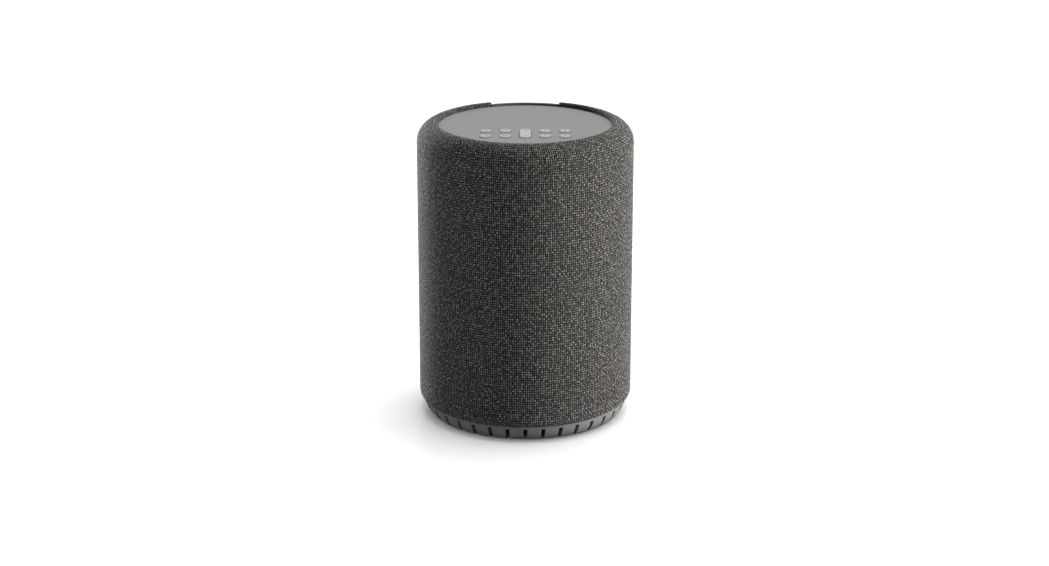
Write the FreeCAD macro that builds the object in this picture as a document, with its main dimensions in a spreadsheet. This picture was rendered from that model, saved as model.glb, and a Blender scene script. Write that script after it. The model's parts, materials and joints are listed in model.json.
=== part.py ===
"""A cylindrical smart home hub: a fabric-covered speaker with a key panel on top.

Millimetres. The origin is at the centre of the footprint, +Z is up and -Y is the front,
where the keys and the drivers face the user.
"""
import FreeCAD, Part
import math
import os

import Sketcher

V = FreeCAD.Vector
doc = FreeCAD.newDocument("smart_home_hub")
sheet = doc.addObject("Spreadsheet::Sheet", "sizes")

DRIVING_SIZES = {
    # outline
    "body_height": 192.0,
    "body_rad": 69.0,
    "shoulder_rad": 12.6,
    "rim_rad": 1.0,
    "hem_in": 2.5,
    "hem_rise": 3.8,
    "fabric_thick": 1.6,
    "shell_thick": 2.0,
    "small_gap": 0.1,
    "rear_gap_half": 22.0,
    # base
    "foot_height": 0.5,
    "foot_rad": 2.5,
    "foot_circle": 57.0,
    "base_top": 10.1,
    "base_low_rad": 61.0,
    "base_top_rad": 66.3,
    "base_bulge_rad": 12.0,
    "base_inner_rad": 53.0,
    "base_flange_low": 8.7,
    "base_bore_rad": 46.0,
    "slot_half": 1.3,
    "slot_top": 8.5,
    # top panel and keys
    "panel_rad": 55.2,
    "panel_top": 189.0,
    "panel_thick": 2.0,
    "skirt_thick": 2.0,
    "key_rad": 3.45,
    "key_stand": 1.0,
    "key_clear": 0.25,
    "key_flange_rad": 4.35,
    "key_flange_low": 185.9,
    "key_flange_thick": 1.0,
    "key_stem_rad": 2.0,
    "key_pitch": 12.4,
    "row_far": -16.6,
    "row_near": -29.8,
    "rocker_half_width": 3.6,
    "rocker_half_length": 11.0,
    "rocker_middle": -23.2,
    "rocker_pin_rad": 0.75,
    "rocker_bore_rad": 0.8,
    "rocker_pin_level": 185.6,
    "rocker_nub_reach": 7.0,
    "mat_low": 182.6,
    "mat_sheet": 1.0,
    "mat_top": 184.6,
    "board_thick": 1.6,
    # cabinet
    "cabinet_rad": 62.5,
    "cabinet_wall": 3.0,
    "floor_low": 12.0,
    "floor_top": 16.0,
    "deck_low": 172.0,
    "deck_top": 175.0,
    "deck_rad": 65.0,
    "baffle_front": -43.5,
    "baffle_back": -39.5,
    "woofer_level": 78.0,
    "woofer_hole_rad": 40.7,
    "woofer_rad": 44.5,
    "tweeter_level": 149.0,
    "tweeter_hole_rad": 16.0,
    "tweeter_rad": 19.5,
    "radiator_rad": 43.5,
    "radiator_hole_rad": 39.5,
    # rear
    "tub_half": 19.0,
    "tub_low": 18.0,
    "tub_high": 62.0,
    "tub_wall": 2.0,
    "tub_floor": 56.0,
    "inlet_level": 29.0,
    "inlet_pin_half_pitch": 4.3,
    "port_level": 49.0,
    "port_offset": 9.0,
    "port_board_face": 42.8,
    "jack_bore_rad": 1.75,
    "jack_bore_depth": 14.0,
    "pairing_rad": 2.4,
    "pairing_level": 41.0,
    # electronics
    "board_front": 38.0,
    "board_half": 34.0,
    "power_low": 22.0,
    "power_high": 88.0,
    "main_low": 96.0,
    "main_high": 160.0,
    "boss_rad": 3.0,
    "screw_rad": 1.0,
    "screw_head_rad": 1.8,
    "screw_head_thick": 1.4,
    "lead_rad": 0.9,
}


class Length:
    """A length that knows its present value and the sheet formula that keeps it up to date."""

    def __init__(self, value, formula):
        self.value = value
        self.formula = formula

    def __add__(self, other):
        other = length(other)
        return Length(self.value + other.value, f"({self.formula} + {other.formula})")

    def __sub__(self, other):
        other = length(other)
        return Length(self.value - other.value, f"({self.formula} - {other.formula})")

    def __mul__(self, other):
        other = length(other)
        return Length(self.value * other.value, f"({self.formula} * {other.formula})")

    def __truediv__(self, other):
        other = length(other)
        return Length(self.value / other.value, f"({self.formula} / {other.formula})")

    def __radd__(self, other):
        return length(other) + self

    def __rsub__(self, other):
        return length(other) - self

    def __rmul__(self, other):
        return length(other) * self

    def __neg__(self):
        return Length(-self.value, f"(0 - {self.formula})")


class Sizes:
    """The driving sizes as attributes, one Length each."""


def length(number):
    """A Length as it is, or a plain number made into one."""
    if isinstance(number, Length):
        return number
    return Length(float(number), f"({float(number):.6f})")


def fill_sheet():
    sizes = Sizes()
    for row, (name, value) in enumerate(DRIVING_SIZES.items(), start=1):
        sheet.set(f"A{row}", name)
        sheet.set(f"B{row}", f"{value:g}")
        sheet.setAlias(f"B{row}", name)
        setattr(sizes, name, Length(value, f"sizes.{name}"))
    doc.recompute()
    return sizes


S = fill_sheet()
SCREW_HOLE = S.screw_rad + 0.1
NODES = []

TURNS = {
    "up": FreeCAD.Rotation(V(1, 0, 0), 0),
    "front": FreeCAD.Rotation(V(1, 0, 0), 90),
    "rear": FreeCAD.Rotation(V(1, 0, 0), -90),
    "right": FreeCAD.Rotation(V(0, 1, 0), 90),
}


def node(piece, name):
    """Label a finished piece and list it for export."""
    piece.Label = name
    NODES.append(piece)
    return piece


def put(piece, prop, size):
    piece.setExpression(prop, length(size).formula)


def stand(piece, x=0, y=0, z=0, facing="up"):
    """Turn a piece from its local +Z to the way it faces, and bind where it stands."""
    piece.Placement = FreeCAD.Placement(V(0, 0, 0), TURNS[facing])
    for axis, place in (("x", x), ("y", y), ("z", z)):
        put(piece, f"Placement.Base.{axis}", place)
    return piece


def cylinder(name, radius, height, x=0, y=0, z=0, facing="up"):
    piece = doc.addObject("Part::Cylinder", name)
    put(piece, "Radius", radius)
    put(piece, "Height", height)
    return stand(piece, x, y, z, facing)


def box(name, x_span, y_span, z_span):
    """A box between two places on each axis."""
    piece = doc.addObject("Part::Box", name)
    for prop, (low, high) in (("Length", x_span), ("Width", y_span), ("Height", z_span)):
        put(piece, prop, length(high) - low)
    return stand(piece, x_span[0], y_span[0], z_span[0])


def either_side(half):
    return (-half, half)


def cut(name, base, *tools):
    piece = doc.addObject("Part::Cut", name)
    piece.Base = base
    piece.Tool = tools[0] if len(tools) == 1 else fuse(name + "_tools", *tools)
    return piece


def fuse(name, *pieces):
    piece = doc.addObject("Part::MultiFuse", name)
    piece.Shapes = list(pieces)
    return piece


def common(name, first, second):
    piece = doc.addObject("Part::Common", name)
    piece.Base = first
    piece.Tool = second
    return piece


def group(name, *pieces):
    """Separate solids kept together in one piece."""
    piece = doc.addObject("Part::Compound", name)
    piece.Links = list(pieces)
    return piece


def plane_of(body, role):
    return next(feature for feature in body.Origin.OriginFeatures if feature.Role == role)


def new_sketch(body, name, role):
    sketch = body.newObject("Sketcher::SketchObject", name)
    sketch.AttachmentSupport = [(plane_of(body, role), "")]
    sketch.MapMode = "FlatFace"
    return sketch


def fix_corner(sketch, edge, end, x, y):
    """Hold one end of an edge at (x, y) from the sketch's origin."""
    for kind, place, axis in (("DistanceX", length(x), -2), ("DistanceY", length(y), -1)):
        if place.value == 0:
            sketch.addConstraint(Sketcher.Constraint("PointOnObject", edge, end, axis))
        else:
            fixed = Sketcher.Constraint(kind, -1, 1, edge, end, place.value)
            sketch.setExpression(f"Constraints[{sketch.addConstraint(fixed)}]", place.formula)


def arc_between(start, end, radius, side):
    """The shorter arc between two points; side is +1 when it turns left on the way."""
    chord = end - start
    rise = math.sqrt(max(radius ** 2 - (chord.Length / 2) ** 2, 0))
    normal = V(-chord.y, chord.x, 0).normalize()
    centre = (start + end) / 2 + normal * (rise * side)
    angles = [math.atan2(p.y - centre.y, p.x - centre.x) for p in (start, end)]
    if side < 0:
        angles.reverse()
    return Part.ArcOfCircle(Part.Circle(centre, V(0, 0, 1), radius), *angles)


def fix_arc(sketch, edge, radius, meets_axis):
    """Give an arc its radius. One that meets the turning axis is a dome, centred on that axis."""
    if meets_axis:
        sketch.addConstraint(Sketcher.Constraint("PointOnObject", edge, 3, -2))
        return
    rule = sketch.addConstraint(Sketcher.Constraint("Radius", edge, radius.value))
    sketch.setExpression(f"Constraints[{rule}]", radius.formula)


def draw_outline(sketch, corners):
    """A closed outline. A corner is (x, y), or (x, y, radius, side) where an arc leaves it."""
    spots = [V(length(c[0]).value, length(c[1]).value, 0) for c in corners]
    starts = []
    for index, corner in enumerate(corners):
        here = spots[index]
        there = spots[(index + 1) % len(corners)]
        if len(corner) == 2:
            starts.append((sketch.addGeometry(Part.LineSegment(here, there), False), 1, 2))
            continue
        radius, side = length(corner[2]), corner[3]
        edge = sketch.addGeometry(arc_between(here, there, radius.value, side), False)
        starts.append((edge, 1, 2) if side > 0 else (edge, 2, 1))
    for index, corner in enumerate(corners):
        edge, start, end = starts[index]
        next_edge, next_start, _ = starts[(index + 1) % len(corners)]
        sketch.addConstraint(Sketcher.Constraint("Coincident", edge, end, next_edge, next_start))
        fix_corner(sketch, edge, start, corner[0], corner[1])
        if len(corner) > 2:
            meets_axis = 0 in (spots[index].x, spots[(index + 1) % len(corners)].x)
            fix_arc(sketch, edge, length(corner[2]), meets_axis)


def turned(name, corners, x=0, y=0, z=0, facing="up"):
    """A body turned about its own Z axis; the outline's corners are (radius, level)."""
    body = doc.addObject("PartDesign::Body", name)
    sketch = new_sketch(body, name + "_outline", "XZ_Plane")
    draw_outline(sketch, corners)
    turn = body.newObject("PartDesign::Revolution", name + "_turn")
    turn.Profile = sketch
    turn.ReferenceAxis = (sketch, ["V_Axis"])
    turn.Angle = 360
    body.Tip = turn
    doc.recompute()
    return stand(body, x, y, z, facing)


def ring(name, inner, outer, low, high, x=0, y=0, z=0, facing="up"):
    corners = [(inner, low), (outer, low), (outer, high), (inner, high)]
    return turned(name, corners, x, y, z, facing)


def pierce(body, name, windows, count):
    """Cut straight through both walls of a turned body, count times in half a turn."""
    sketch = new_sketch(body, name, "XZ_Plane")
    for half, low, high in windows:
        first = sketch.GeometryCount
        corners = [(-half, low), (half, low), (half, high), (-half, high)]
        spots = [V(length(x).value, length(y).value, 0) for x, y in corners]
        for index in range(4):
            sketch.addGeometry(Part.LineSegment(spots[index], spots[(index + 1) % 4]), False)
        for index in range(4):
            here, after = first + index, first + (index + 1) % 4
            sketch.addConstraint(Sketcher.Constraint("Coincident", here, 2, after, 1))
            fix_corner(sketch, here, 1, *corners[index])
    pocket = body.newObject("PartDesign::Pocket", name + "_pocket")
    pocket.Profile = sketch
    pocket.Type = "ThroughAll"
    pocket.Midplane = True
    doc.recompute()
    pattern = body.newObject("PartDesign::PolarPattern", name + "_pattern")
    pattern.Originals = [pocket]
    pattern.Axis = (sketch, ["V_Axis"])
    pattern.Angle = 180 - 180 / count
    pattern.Occurrences = count
    body.Tip = pattern
    doc.recompute()
    return body


def slab(name, role, corners, thickness, x=0, y=0, z=0):
    """A pad of an outline drawn on one of the origin planes, thickened to both sides."""
    body = doc.addObject("PartDesign::Body", name)
    sketch = new_sketch(body, name + "_outline", role)
    draw_outline(sketch, corners)
    pad = body.newObject("PartDesign::Pad", name + "_pad")
    pad.Profile = sketch
    pad.Midplane = True
    put(pad, "Length", thickness)
    body.Tip = pad
    doc.recompute()
    return stand(body, x, y, z)


# A half circle between two fixed corners gets this much more radius, so that it solves.
ARC_SLACK = 0.01


def pill(name, half_width, half_length, height, x=0, y=0, z=0):
    """An upright pad with round ends, longer along Y."""
    straight = half_length - half_width
    end_rad = half_width + ARC_SLACK
    corners = [
        (half_width, -straight),
        (half_width, straight, end_rad, 1),
        (-half_width, straight),
        (-half_width, -straight, end_rad, 1),
    ]
    return slab(name, "XY_Plane", corners, height, x, y, z + length(height) / 2)


def around(count, radius, start=0.0):
    """Places evenly round the Z axis."""
    for index in range(count):
        angle = math.radians(start + 360 * index / count)
        yield radius * math.cos(angle), radius * math.sin(angle)


def quarters(radius, angle=35.0):
    """One place in each quarter, mirrored across both axes."""
    x, y = radius * math.cos(math.radians(angle)), radius * math.sin(math.radians(angle))
    return [(side * x, end * y) for side in (-1, 1) for end in (-1, 1)]


def screw(name, x, y, z, depth, facing="up"):
    """A pan-head screw: z or y is where the head rests, and the shank runs behind it."""
    back = {"up": (0, 0, -1), "front": (0, 1, 0)}[facing]
    head = cylinder(name + "_head", S.screw_head_rad, S.screw_head_thick, x, y, z, facing)
    start = [length(p) + way * depth for p, way in zip((x, y, z), back)]
    shank = cylinder(name + "_shank", S.screw_rad, depth, *start, facing)
    return fuse(name, head, shank)


# ---------------------------------------------------------------- outer covers

CENTRE_RAD = S.body_rad - S.shoulder_rad
SHOULDER_LOW = S.body_height - S.shoulder_rad
HEM_ARC = (S.hem_in * S.hem_in + S.hem_rise * S.hem_rise) / (2 * S.hem_in)
HEM_CENTRE = S.body_rad - HEM_ARC
HEM_TOP = S.base_top + S.hem_rise
SHELL_RAD = S.body_rad - S.fabric_thick - S.small_gap
SHELL_INNER = SHELL_RAD - S.shell_thick
CUTTER = 80


def rear_strip(name, half, low, high):
    """A box that takes the rear strip of anything turned about Z."""
    return box(name, either_side(half), (0, CUTTER), (low, high))


def fabric_sleeve():
    """Knit cover: up the wall, over the shoulder, and tucked in along the panel's edge."""
    inner = S.body_rad - S.fabric_thick
    tuck = CENTRE_RAD - S.rim_rad
    tuck_depth = 0.6
    tuck_low = S.panel_top - tuck_depth
    tuck_thick = 0.8
    sleeve = turned("sleeve", [
        (HEM_CENTRE, S.base_top),
        (S.body_rad - S.hem_in, S.base_top, HEM_ARC, 1),
        (S.body_rad, HEM_TOP),
        (S.body_rad, SHOULDER_LOW, S.shoulder_rad, 1),
        (CENTRE_RAD, S.body_height, S.rim_rad, 1),
        (tuck, S.body_height - S.rim_rad),
        (tuck, tuck_low),
        (tuck + tuck_thick, tuck_low),
        (tuck + tuck_thick, S.body_height - S.fabric_thick),
        (CENTRE_RAD, S.body_height - S.fabric_thick, S.shoulder_rad - S.fabric_thick, -1),
        (inner, SHOULDER_LOW),
        (inner, HEM_TOP, HEM_ARC - S.fabric_thick, -1),
        (HEM_CENTRE, HEM_TOP - HEM_ARC + S.fabric_thick),
    ])
    gap = rear_strip("sleeve_gap", S.rear_gap_half, 0, S.body_height + 1)
    node(cut("fabric_sleeve", sleeve, gap), "fabric_sleeve")


def grille_shell():
    """Perforated shell that holds the fabric to its shape."""
    flange_thick = 1.8
    flange_top = S.base_top + flange_thick
    flange_inner = 60.0
    shell_shoulder = S.shoulder_rad - S.fabric_thick - S.small_gap
    lower_arc = HEM_ARC - S.fabric_thick - S.small_gap
    shell = turned("shell", [
        (flange_inner, S.base_top),
        (HEM_CENTRE - S.small_gap, S.base_top),
        (HEM_CENTRE - S.small_gap, HEM_TOP - lower_arc),
        (HEM_CENTRE, HEM_TOP - lower_arc, lower_arc, 1),
        (SHELL_RAD, HEM_TOP),
        (SHELL_RAD, SHOULDER_LOW, shell_shoulder, 1),
        (CENTRE_RAD, SHOULDER_LOW + shell_shoulder),
        (CENTRE_RAD, SHOULDER_LOW + shell_shoulder - S.shell_thick, shell_shoulder - S.shell_thick, -1),
        (SHELL_INNER, SHOULDER_LOW),
        (SHELL_INNER, flange_top),
        (flange_inner, flange_top),
    ])
    window_half = 6.0
    first_window, window_height, window_pitch = 20.0, 44.0, 50.0
    rows = [first_window + window_pitch * row for row in range(3)]
    pierce(shell, "windows", [(window_half, low, low + window_height) for low in rows], 12)
    gap = rear_strip("shell_gap", S.rear_gap_half - 0.2, 0, S.body_height)
    node(cut("grille_shell", shell, gap), "grille_shell")


def rear_spine():
    """Plain strip that closes the gap at the rear, with a window for the connectors."""
    outer_arc = S.shoulder_rad - S.fabric_thick
    inner_arc = outer_arc - S.shell_thick
    top_rad = S.panel_rad + S.small_gap
    strip = turned("spine", [
        (CENTRE_RAD + inner_arc, S.base_top),
        (CENTRE_RAD + outer_arc, S.base_top),
        (CENTRE_RAD + outer_arc, SHOULDER_LOW, outer_arc, 1),
        (CENTRE_RAD, SHOULDER_LOW + outer_arc),
        (top_rad, SHOULDER_LOW + outer_arc),
        (top_rad, SHOULDER_LOW + inner_arc),
        (CENTRE_RAD, SHOULDER_LOW + inner_arc, inner_arc, -1),
        (CENTRE_RAD + inner_arc, SHOULDER_LOW),
    ])
    keep = rear_strip("spine_keep", S.rear_gap_half - 0.4, 0, S.body_height)
    window = rear_strip("spine_window", S.tub_half - S.tub_wall, S.tub_low + S.tub_wall,
                        S.tub_high - S.tub_wall)
    node(cut("rear_spine", common("spine_strip", strip, keep), window), "rear_spine")


def base_ring():
    """Slotted foot ring; the slots let the bottom radiator breathe."""
    base = turned("base", [
        (S.base_bore_rad, S.base_flange_low),
        (S.base_inner_rad, S.base_flange_low),
        (S.base_inner_rad, S.foot_height),
        (S.base_low_rad, S.foot_height, S.base_bulge_rad, 1),
        (S.base_top_rad, S.base_top),
        (S.base_bore_rad, S.base_top),
    ])
    pierce(base, "slots", [(S.slot_half, 0, S.slot_top)], 18)
    holes = [cylinder(f"base_hole_{index}", SCREW_HOLE, 4.0, x, y, S.base_flange_low - 1)
             for index, (x, y) in enumerate(BASE_SCREWS)]
    node(cut("base_ring", base, *holes), "base_ring")


def rubber_feet():
    places = around(12, S.foot_circle, 5.0)
    feet = [cylinder(f"foot_{index}", S.foot_rad, S.foot_height, x, y, 0)
            for index, (x, y) in enumerate(places)]
    node(group("rubber_feet", *feet), "rubber_feet")


# ---------------------------------------------------------------- top panel and keys

KEYS = [
    ("key_power", -2, "far"),
    ("key_source", -2, "near"),
    ("key_assistant", -1, "far"),
    ("key_play", -1, "near"),
    ("key_preset_1", 1, "far"),
    ("key_preset_2", 2, "far"),
    ("key_preset_3", 1, "near"),
    ("key_preset_4", 2, "near"),
]
ROWS = {"far": S.row_far, "near": S.row_near}
PANEL_LOW = S.panel_top - S.panel_thick
PIPE_PLACE = 5.0
PIPE_RAD = 0.8
EAR_INNER = 5.4
EAR_OUTER = 7.4
EAR_HALF = 2.0


def key_places():
    for name, column, row in KEYS:
        yield name, S.key_pitch * column, ROWS[row]


def top_cap():
    """Key panel with a skirt that stands on the deck."""
    inner = S.panel_rad - S.skirt_thick
    cap = turned("cap", [
        (0, PANEL_LOW),
        (inner, PANEL_LOW),
        (inner, S.deck_top),
        (S.panel_rad, S.deck_top),
        (S.panel_rad, S.panel_top),
        (0, S.panel_top),
    ])
    ears = []
    for index, side in enumerate((-1, 1)):
        places = sorted((side * EAR_INNER, side * EAR_OUTER))
        ears.append(box(f"ear_{index}", places, (S.rocker_middle - EAR_HALF, S.rocker_middle + EAR_HALF),
                        (S.rocker_pin_level - EAR_HALF, PANEL_LOW)))
    holes = [cylinder(f"{name}_hole", S.key_rad + S.key_clear, 2 * S.panel_thick, x, y,
                      PANEL_LOW - S.panel_thick / 2)
             for name, x, y in key_places()]
    holes.append(pill("rocker_hole", S.rocker_half_width + S.key_clear,
                      S.rocker_half_length + S.key_clear, 2 * S.panel_thick, 0, S.rocker_middle,
                      PANEL_LOW - S.panel_thick / 2))
    holes.append(cylinder("pipe_hole", PIPE_RAD + S.small_gap / 2, 2 * S.panel_thick, 0, PIPE_PLACE,
                          PANEL_LOW - S.panel_thick / 2))
    holes.append(cylinder("pin_holes", S.rocker_pin_rad, 2 * EAR_OUTER, -EAR_OUTER,
                          S.rocker_middle, S.rocker_pin_level, "right"))
    node(cut("top_cap", fuse("cap_and_ears", cap, *ears), *holes), "top_cap")


def round_keys():
    """Each key: a flat cap with a rounded edge, a retaining flange and a stem."""
    edge = 0.5
    top = S.panel_top + S.key_stand
    for name, x, y in key_places():
        key = turned(name, [
            (0, S.mat_top),
            (S.key_stem_rad, S.mat_top),
            (S.key_stem_rad, S.key_flange_low),
            (S.key_flange_rad, S.key_flange_low),
            (S.key_flange_rad, S.key_flange_low + S.key_flange_thick),
            (S.key_rad, S.key_flange_low + S.key_flange_thick),
            (S.key_rad, top - edge, edge, 1),
            (S.key_rad - edge, top),
            (0, top),
        ], x, y)
        node(key, name)


def volume_rocker():
    """Long key that rocks on a cross pin; one nub under each end."""
    flange_thick = 0.8
    flange_out = 0.8
    depth_below_panel = 3.6
    boss_rad = 1.3
    nub_rad = 1.5
    nub_overlap = 0.4
    low = S.panel_top - depth_below_panel
    top = S.panel_top + S.key_stand
    middle = S.rocker_middle
    plate = pill("rocker_plate", S.rocker_half_width, S.rocker_half_length, top - low, 0, middle, low)
    flange = pill("rocker_flange", S.rocker_half_width + flange_out, S.rocker_half_length + flange_out,
                  flange_thick, 0, middle, low)
    boss = cylinder("rocker_boss", boss_rad, 2 * (S.rocker_half_width + flange_out),
                    -S.rocker_half_width - flange_out, middle, S.rocker_pin_level, "right")
    nubs = [cylinder(f"rocker_nub_{index}", nub_rad, low + nub_overlap - S.mat_top, 0,
                     middle + side * S.rocker_nub_reach, S.mat_top)
            for index, side in enumerate((-1, 1))]
    bore = cylinder("rocker_bore", S.rocker_bore_rad, 2 * EAR_OUTER, -EAR_OUTER, middle,
                    S.rocker_pin_level, "right")
    node(cut("volume_rocker", fuse("rocker_solid", plate, flange, boss, *nubs), bore), "volume_rocker")


def rocker_pin():
    node(cylinder("rocker_pin", S.rocker_pin_rad, 2 * EAR_OUTER, -EAR_OUTER, S.rocker_middle,
                  S.rocker_pin_level, "right"), "rocker_pin")


def light_pipe():
    node(cylinder("light_pipe", PIPE_RAD, S.panel_top - 0.1 - S.mat_low, 0, PIPE_PLACE, S.mat_low),
         "light_pipe")


MAT_HALF = 30.0
MAT_FAR = -11.0
MAT_NEAR = -35.0


def key_mat():
    """Silicone mat with one dome under each key and one under each end of the rocker."""
    sheet_top = S.mat_low + S.mat_sheet
    dome_rad = 2.8
    mat = box("mat_sheet_piece", either_side(length(MAT_HALF)), (MAT_NEAR, MAT_FAR), (S.mat_low, sheet_top))
    places = [(x, y) for _, x, y in key_places()]
    places += [(0, S.rocker_middle + side * S.rocker_nub_reach) for side in (-1, 1)]
    domes = [cylinder(f"mat_dome_{index}", dome_rad, S.mat_top - S.mat_low, x, y, S.mat_low)
             for index, (x, y) in enumerate(places)]
    node(fuse("key_mat", mat, *domes), "key_mat")


KEY_BOARD_HALF = 38.0
KEY_BOARD_FAR = 10.0
KEY_BOARD_NEAR = -46.0
KEY_BOARD_POSTS = [(side * 34.5, y) for side in (-1, 1) for y in (-34.0, -2.0)]
KEY_BOARD_LOW = S.mat_low - S.board_thick


def key_board():
    blank = box("key_board_blank", either_side(length(KEY_BOARD_HALF)), (KEY_BOARD_NEAR, KEY_BOARD_FAR),
                (KEY_BOARD_LOW, S.mat_low))
    corner_cut = cylinder("key_board_round", S.panel_rad - S.skirt_thick - 0.5, S.board_thick * 3, 0, 0,
                          KEY_BOARD_LOW - S.board_thick)
    holes = [cylinder(f"key_board_hole_{index}", SCREW_HOLE, S.board_thick * 3, x, y,
                      KEY_BOARD_LOW - S.board_thick)
             for index, (x, y) in enumerate(KEY_BOARD_POSTS)]
    node(cut("key_board", common("key_board_outline", blank, corner_cut), *holes), "key_board")


def key_board_screws():
    screws = [screw(f"key_board_screw_{index}", x, y, S.mat_low, 5.0)
              for index, (x, y) in enumerate(KEY_BOARD_POSTS)]
    node(group("key_board_screws", *screws), "key_board_screws")


DECK_SCREWS = quarters(58.4)
RIBBON_HALF = 6.0
RIBBON_THICK = 0.4
RIBBON_PLACE = 33.6


def top_deck():
    """Lid of the cabinet; it carries the key board's posts and the panel's skirt."""
    deck = cylinder("deck_plate", S.deck_rad, S.deck_top - S.deck_low, 0, 0, S.deck_low)
    posts = [cylinder(f"deck_post_{index}", S.boss_rad, KEY_BOARD_LOW - S.deck_top, x, y, S.deck_top)
             for index, (x, y) in enumerate(KEY_BOARD_POSTS)]
    slot = box("deck_slot", either_side(length(RIBBON_HALF + 1)), (RIBBON_PLACE - 1, RIBBON_PLACE + 1.4),
               (S.deck_low - 1, S.deck_top + 1))
    pilots = [cylinder(f"deck_pilot_{index}", S.screw_rad, 5.0, x, y, S.mat_low - 5.0)
              for index, (x, y) in enumerate(KEY_BOARD_POSTS)]
    holes = [cylinder(f"deck_hole_{index}", SCREW_HOLE, 6.0, x, y, S.deck_low - 1)
             for index, (x, y) in enumerate(DECK_SCREWS)]
    node(cut("top_deck", fuse("deck_and_posts", deck, *posts), slot, *pilots, *holes), "top_deck")


def rising_screw(name, x, y, z, depth):
    """A screw driven upwards; z is where the head rests."""
    head = cylinder(name + "_head", S.screw_head_rad, S.screw_head_thick, x, y, z - S.screw_head_thick)
    return fuse(name, head, cylinder(name + "_shank", S.screw_rad, depth, x, y, z))


def cabinet_screws():
    """The deck's, the floor's and the foot ring's screws."""
    screws = [screw(f"deck_screw_{index}", x, y, S.deck_top, 10.0)
              for index, (x, y) in enumerate(DECK_SCREWS)]
    screws += [rising_screw(f"floor_screw_{index}", x, y, S.floor_low, 10.0)
               for index, (x, y) in enumerate(FLOOR_SCREWS)]
    screws += [rising_screw(f"base_screw_{index}", x, y, S.base_flange_low, 5.1)
               for index, (x, y) in enumerate(BASE_SCREWS)]
    node(group("cabinet_screws", *screws), "cabinet_screws")


# ---------------------------------------------------------------- cabinet and baffle

BOARD_BOSSES = [(side * 29.0, level) for side in (-1, 1) for level in (27.0, 83.0, 101.0, 155.0)]
BOARD_BACK = S.board_front + S.board_thick
FLOOR_SCREWS = quarters(57.6)
BASE_SCREWS = quarters(50.0)


def cabinet_body():
    """Sealed rear of the cabinet, cut flat in front for the baffle."""
    wall = ring("cabinet_wall_ring", S.cabinet_rad - S.cabinet_wall, S.cabinet_rad, S.floor_top, S.deck_low)
    boss_length = 15.0
    bosses = [cylinder(f"cabinet_boss_{index}", S.boss_rad, boss_length, x, BOARD_BACK, z, "rear")
              for index, (x, z) in enumerate(BOARD_BOSSES)]
    lugs = [cylinder(f"cabinet_lug_{index}", S.boss_rad, S.deck_low - S.floor_top, x, y, S.floor_top)
            for index, (x, y) in enumerate(quarters(57.9))]
    inside = cylinder("cabinet_limit", S.cabinet_rad - 0.5, S.deck_low - S.floor_top, 0, 0, S.floor_top)
    added = common("cabinet_added", fuse("cabinet_bosses", *bosses, *lugs), inside)
    front = box("cabinet_front_cut", either_side(length(CUTTER)), (-CUTTER, S.baffle_back),
                (S.floor_top - 1, S.deck_low + 1))
    rear = box("cabinet_rear_cut", either_side(S.tub_half + 0.2), (45, CUTTER),
               (S.tub_low - 0.2, S.tub_high + 0.2))
    pilots = [cylinder(f"boss_pilot_{index}", S.screw_rad, 8.0, x, BOARD_BACK, z, "rear")
              for index, (x, z) in enumerate(BOARD_BOSSES)]
    pilots += [cylinder(f"deck_pilot_hole_{index}", S.screw_rad, 8.0, x, y, S.deck_low - 7.0)
               for index, (x, y) in enumerate(DECK_SCREWS)]
    pilots += [cylinder(f"floor_pilot_hole_{index}", S.screw_rad, 8.0, x, y, S.floor_top - 1.0)
               for index, (x, y) in enumerate(FLOOR_SCREWS)]
    node(cut("cabinet_body", fuse("cabinet_solid", wall, added), front, rear, *pilots), "cabinet_body")


def front_baffle():
    """Flat front that carries both drivers."""
    blank = box("baffle_blank", either_side(length(CUTTER)), (S.baffle_front, S.baffle_back),
                (S.floor_top, S.deck_low))
    limit = cylinder("baffle_limit", S.cabinet_rad, S.deck_low - S.floor_top, 0, 0, S.floor_top)
    depth = 2 * (S.baffle_back - S.baffle_front)
    woofer_hole = cylinder("woofer_hole", S.woofer_hole_rad, depth, 0, S.baffle_back + 2,
                           S.woofer_level, "front")
    tweeter_hole = cylinder("tweeter_hole", S.tweeter_hole_rad, depth, 0, S.baffle_back + 2,
                            S.tweeter_level, "front")
    pilots = [cylinder(f"driver_pilot_{index}", S.screw_rad, 3.5, x, S.baffle_front + 3.5, z, "front")
              for index, (x, z) in enumerate(WOOFER_SCREWS + TWEETER_SCREWS)]
    plate = common("baffle_plate", blank, limit)
    node(cut("front_baffle", plate, woofer_hole, tweeter_hole, *pilots), "front_baffle")


def cabinet_floor():
    """Bottom of the cabinet, standing on four lugs on the foot ring."""
    plate = ring("floor_plate", S.radiator_hole_rad, S.cabinet_rad, S.floor_low, S.floor_top)
    legs = [cylinder(f"floor_leg_{index}", S.boss_rad, S.floor_low - S.base_top + 1, x, y, S.base_top)
            for index, (x, y) in enumerate(BASE_SCREWS)]
    holes = [cylinder(f"floor_hole_{index}", SCREW_HOLE, 8.0, x, y, S.floor_low - 1)
             for index, (x, y) in enumerate(FLOOR_SCREWS)]
    pilots = [cylinder(f"radiator_pilot_{index}", S.screw_rad, 4.0, x, y, S.floor_low - 1)
              for index, (x, y) in enumerate(RADIATOR_SCREWS)]
    pilots += [cylinder(f"leg_pilot_{index}", S.screw_rad, 5.0, x, y, S.base_top - 1)
               for index, (x, y) in enumerate(BASE_SCREWS)]
    node(cut("cabinet_floor", fuse("floor_solid", plate, *legs), *holes, *pilots), "cabinet_floor")


# ---------------------------------------------------------------- drivers
# A driver is drawn with its mounting plane at local level 0 and +Z towards the listener.

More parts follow.
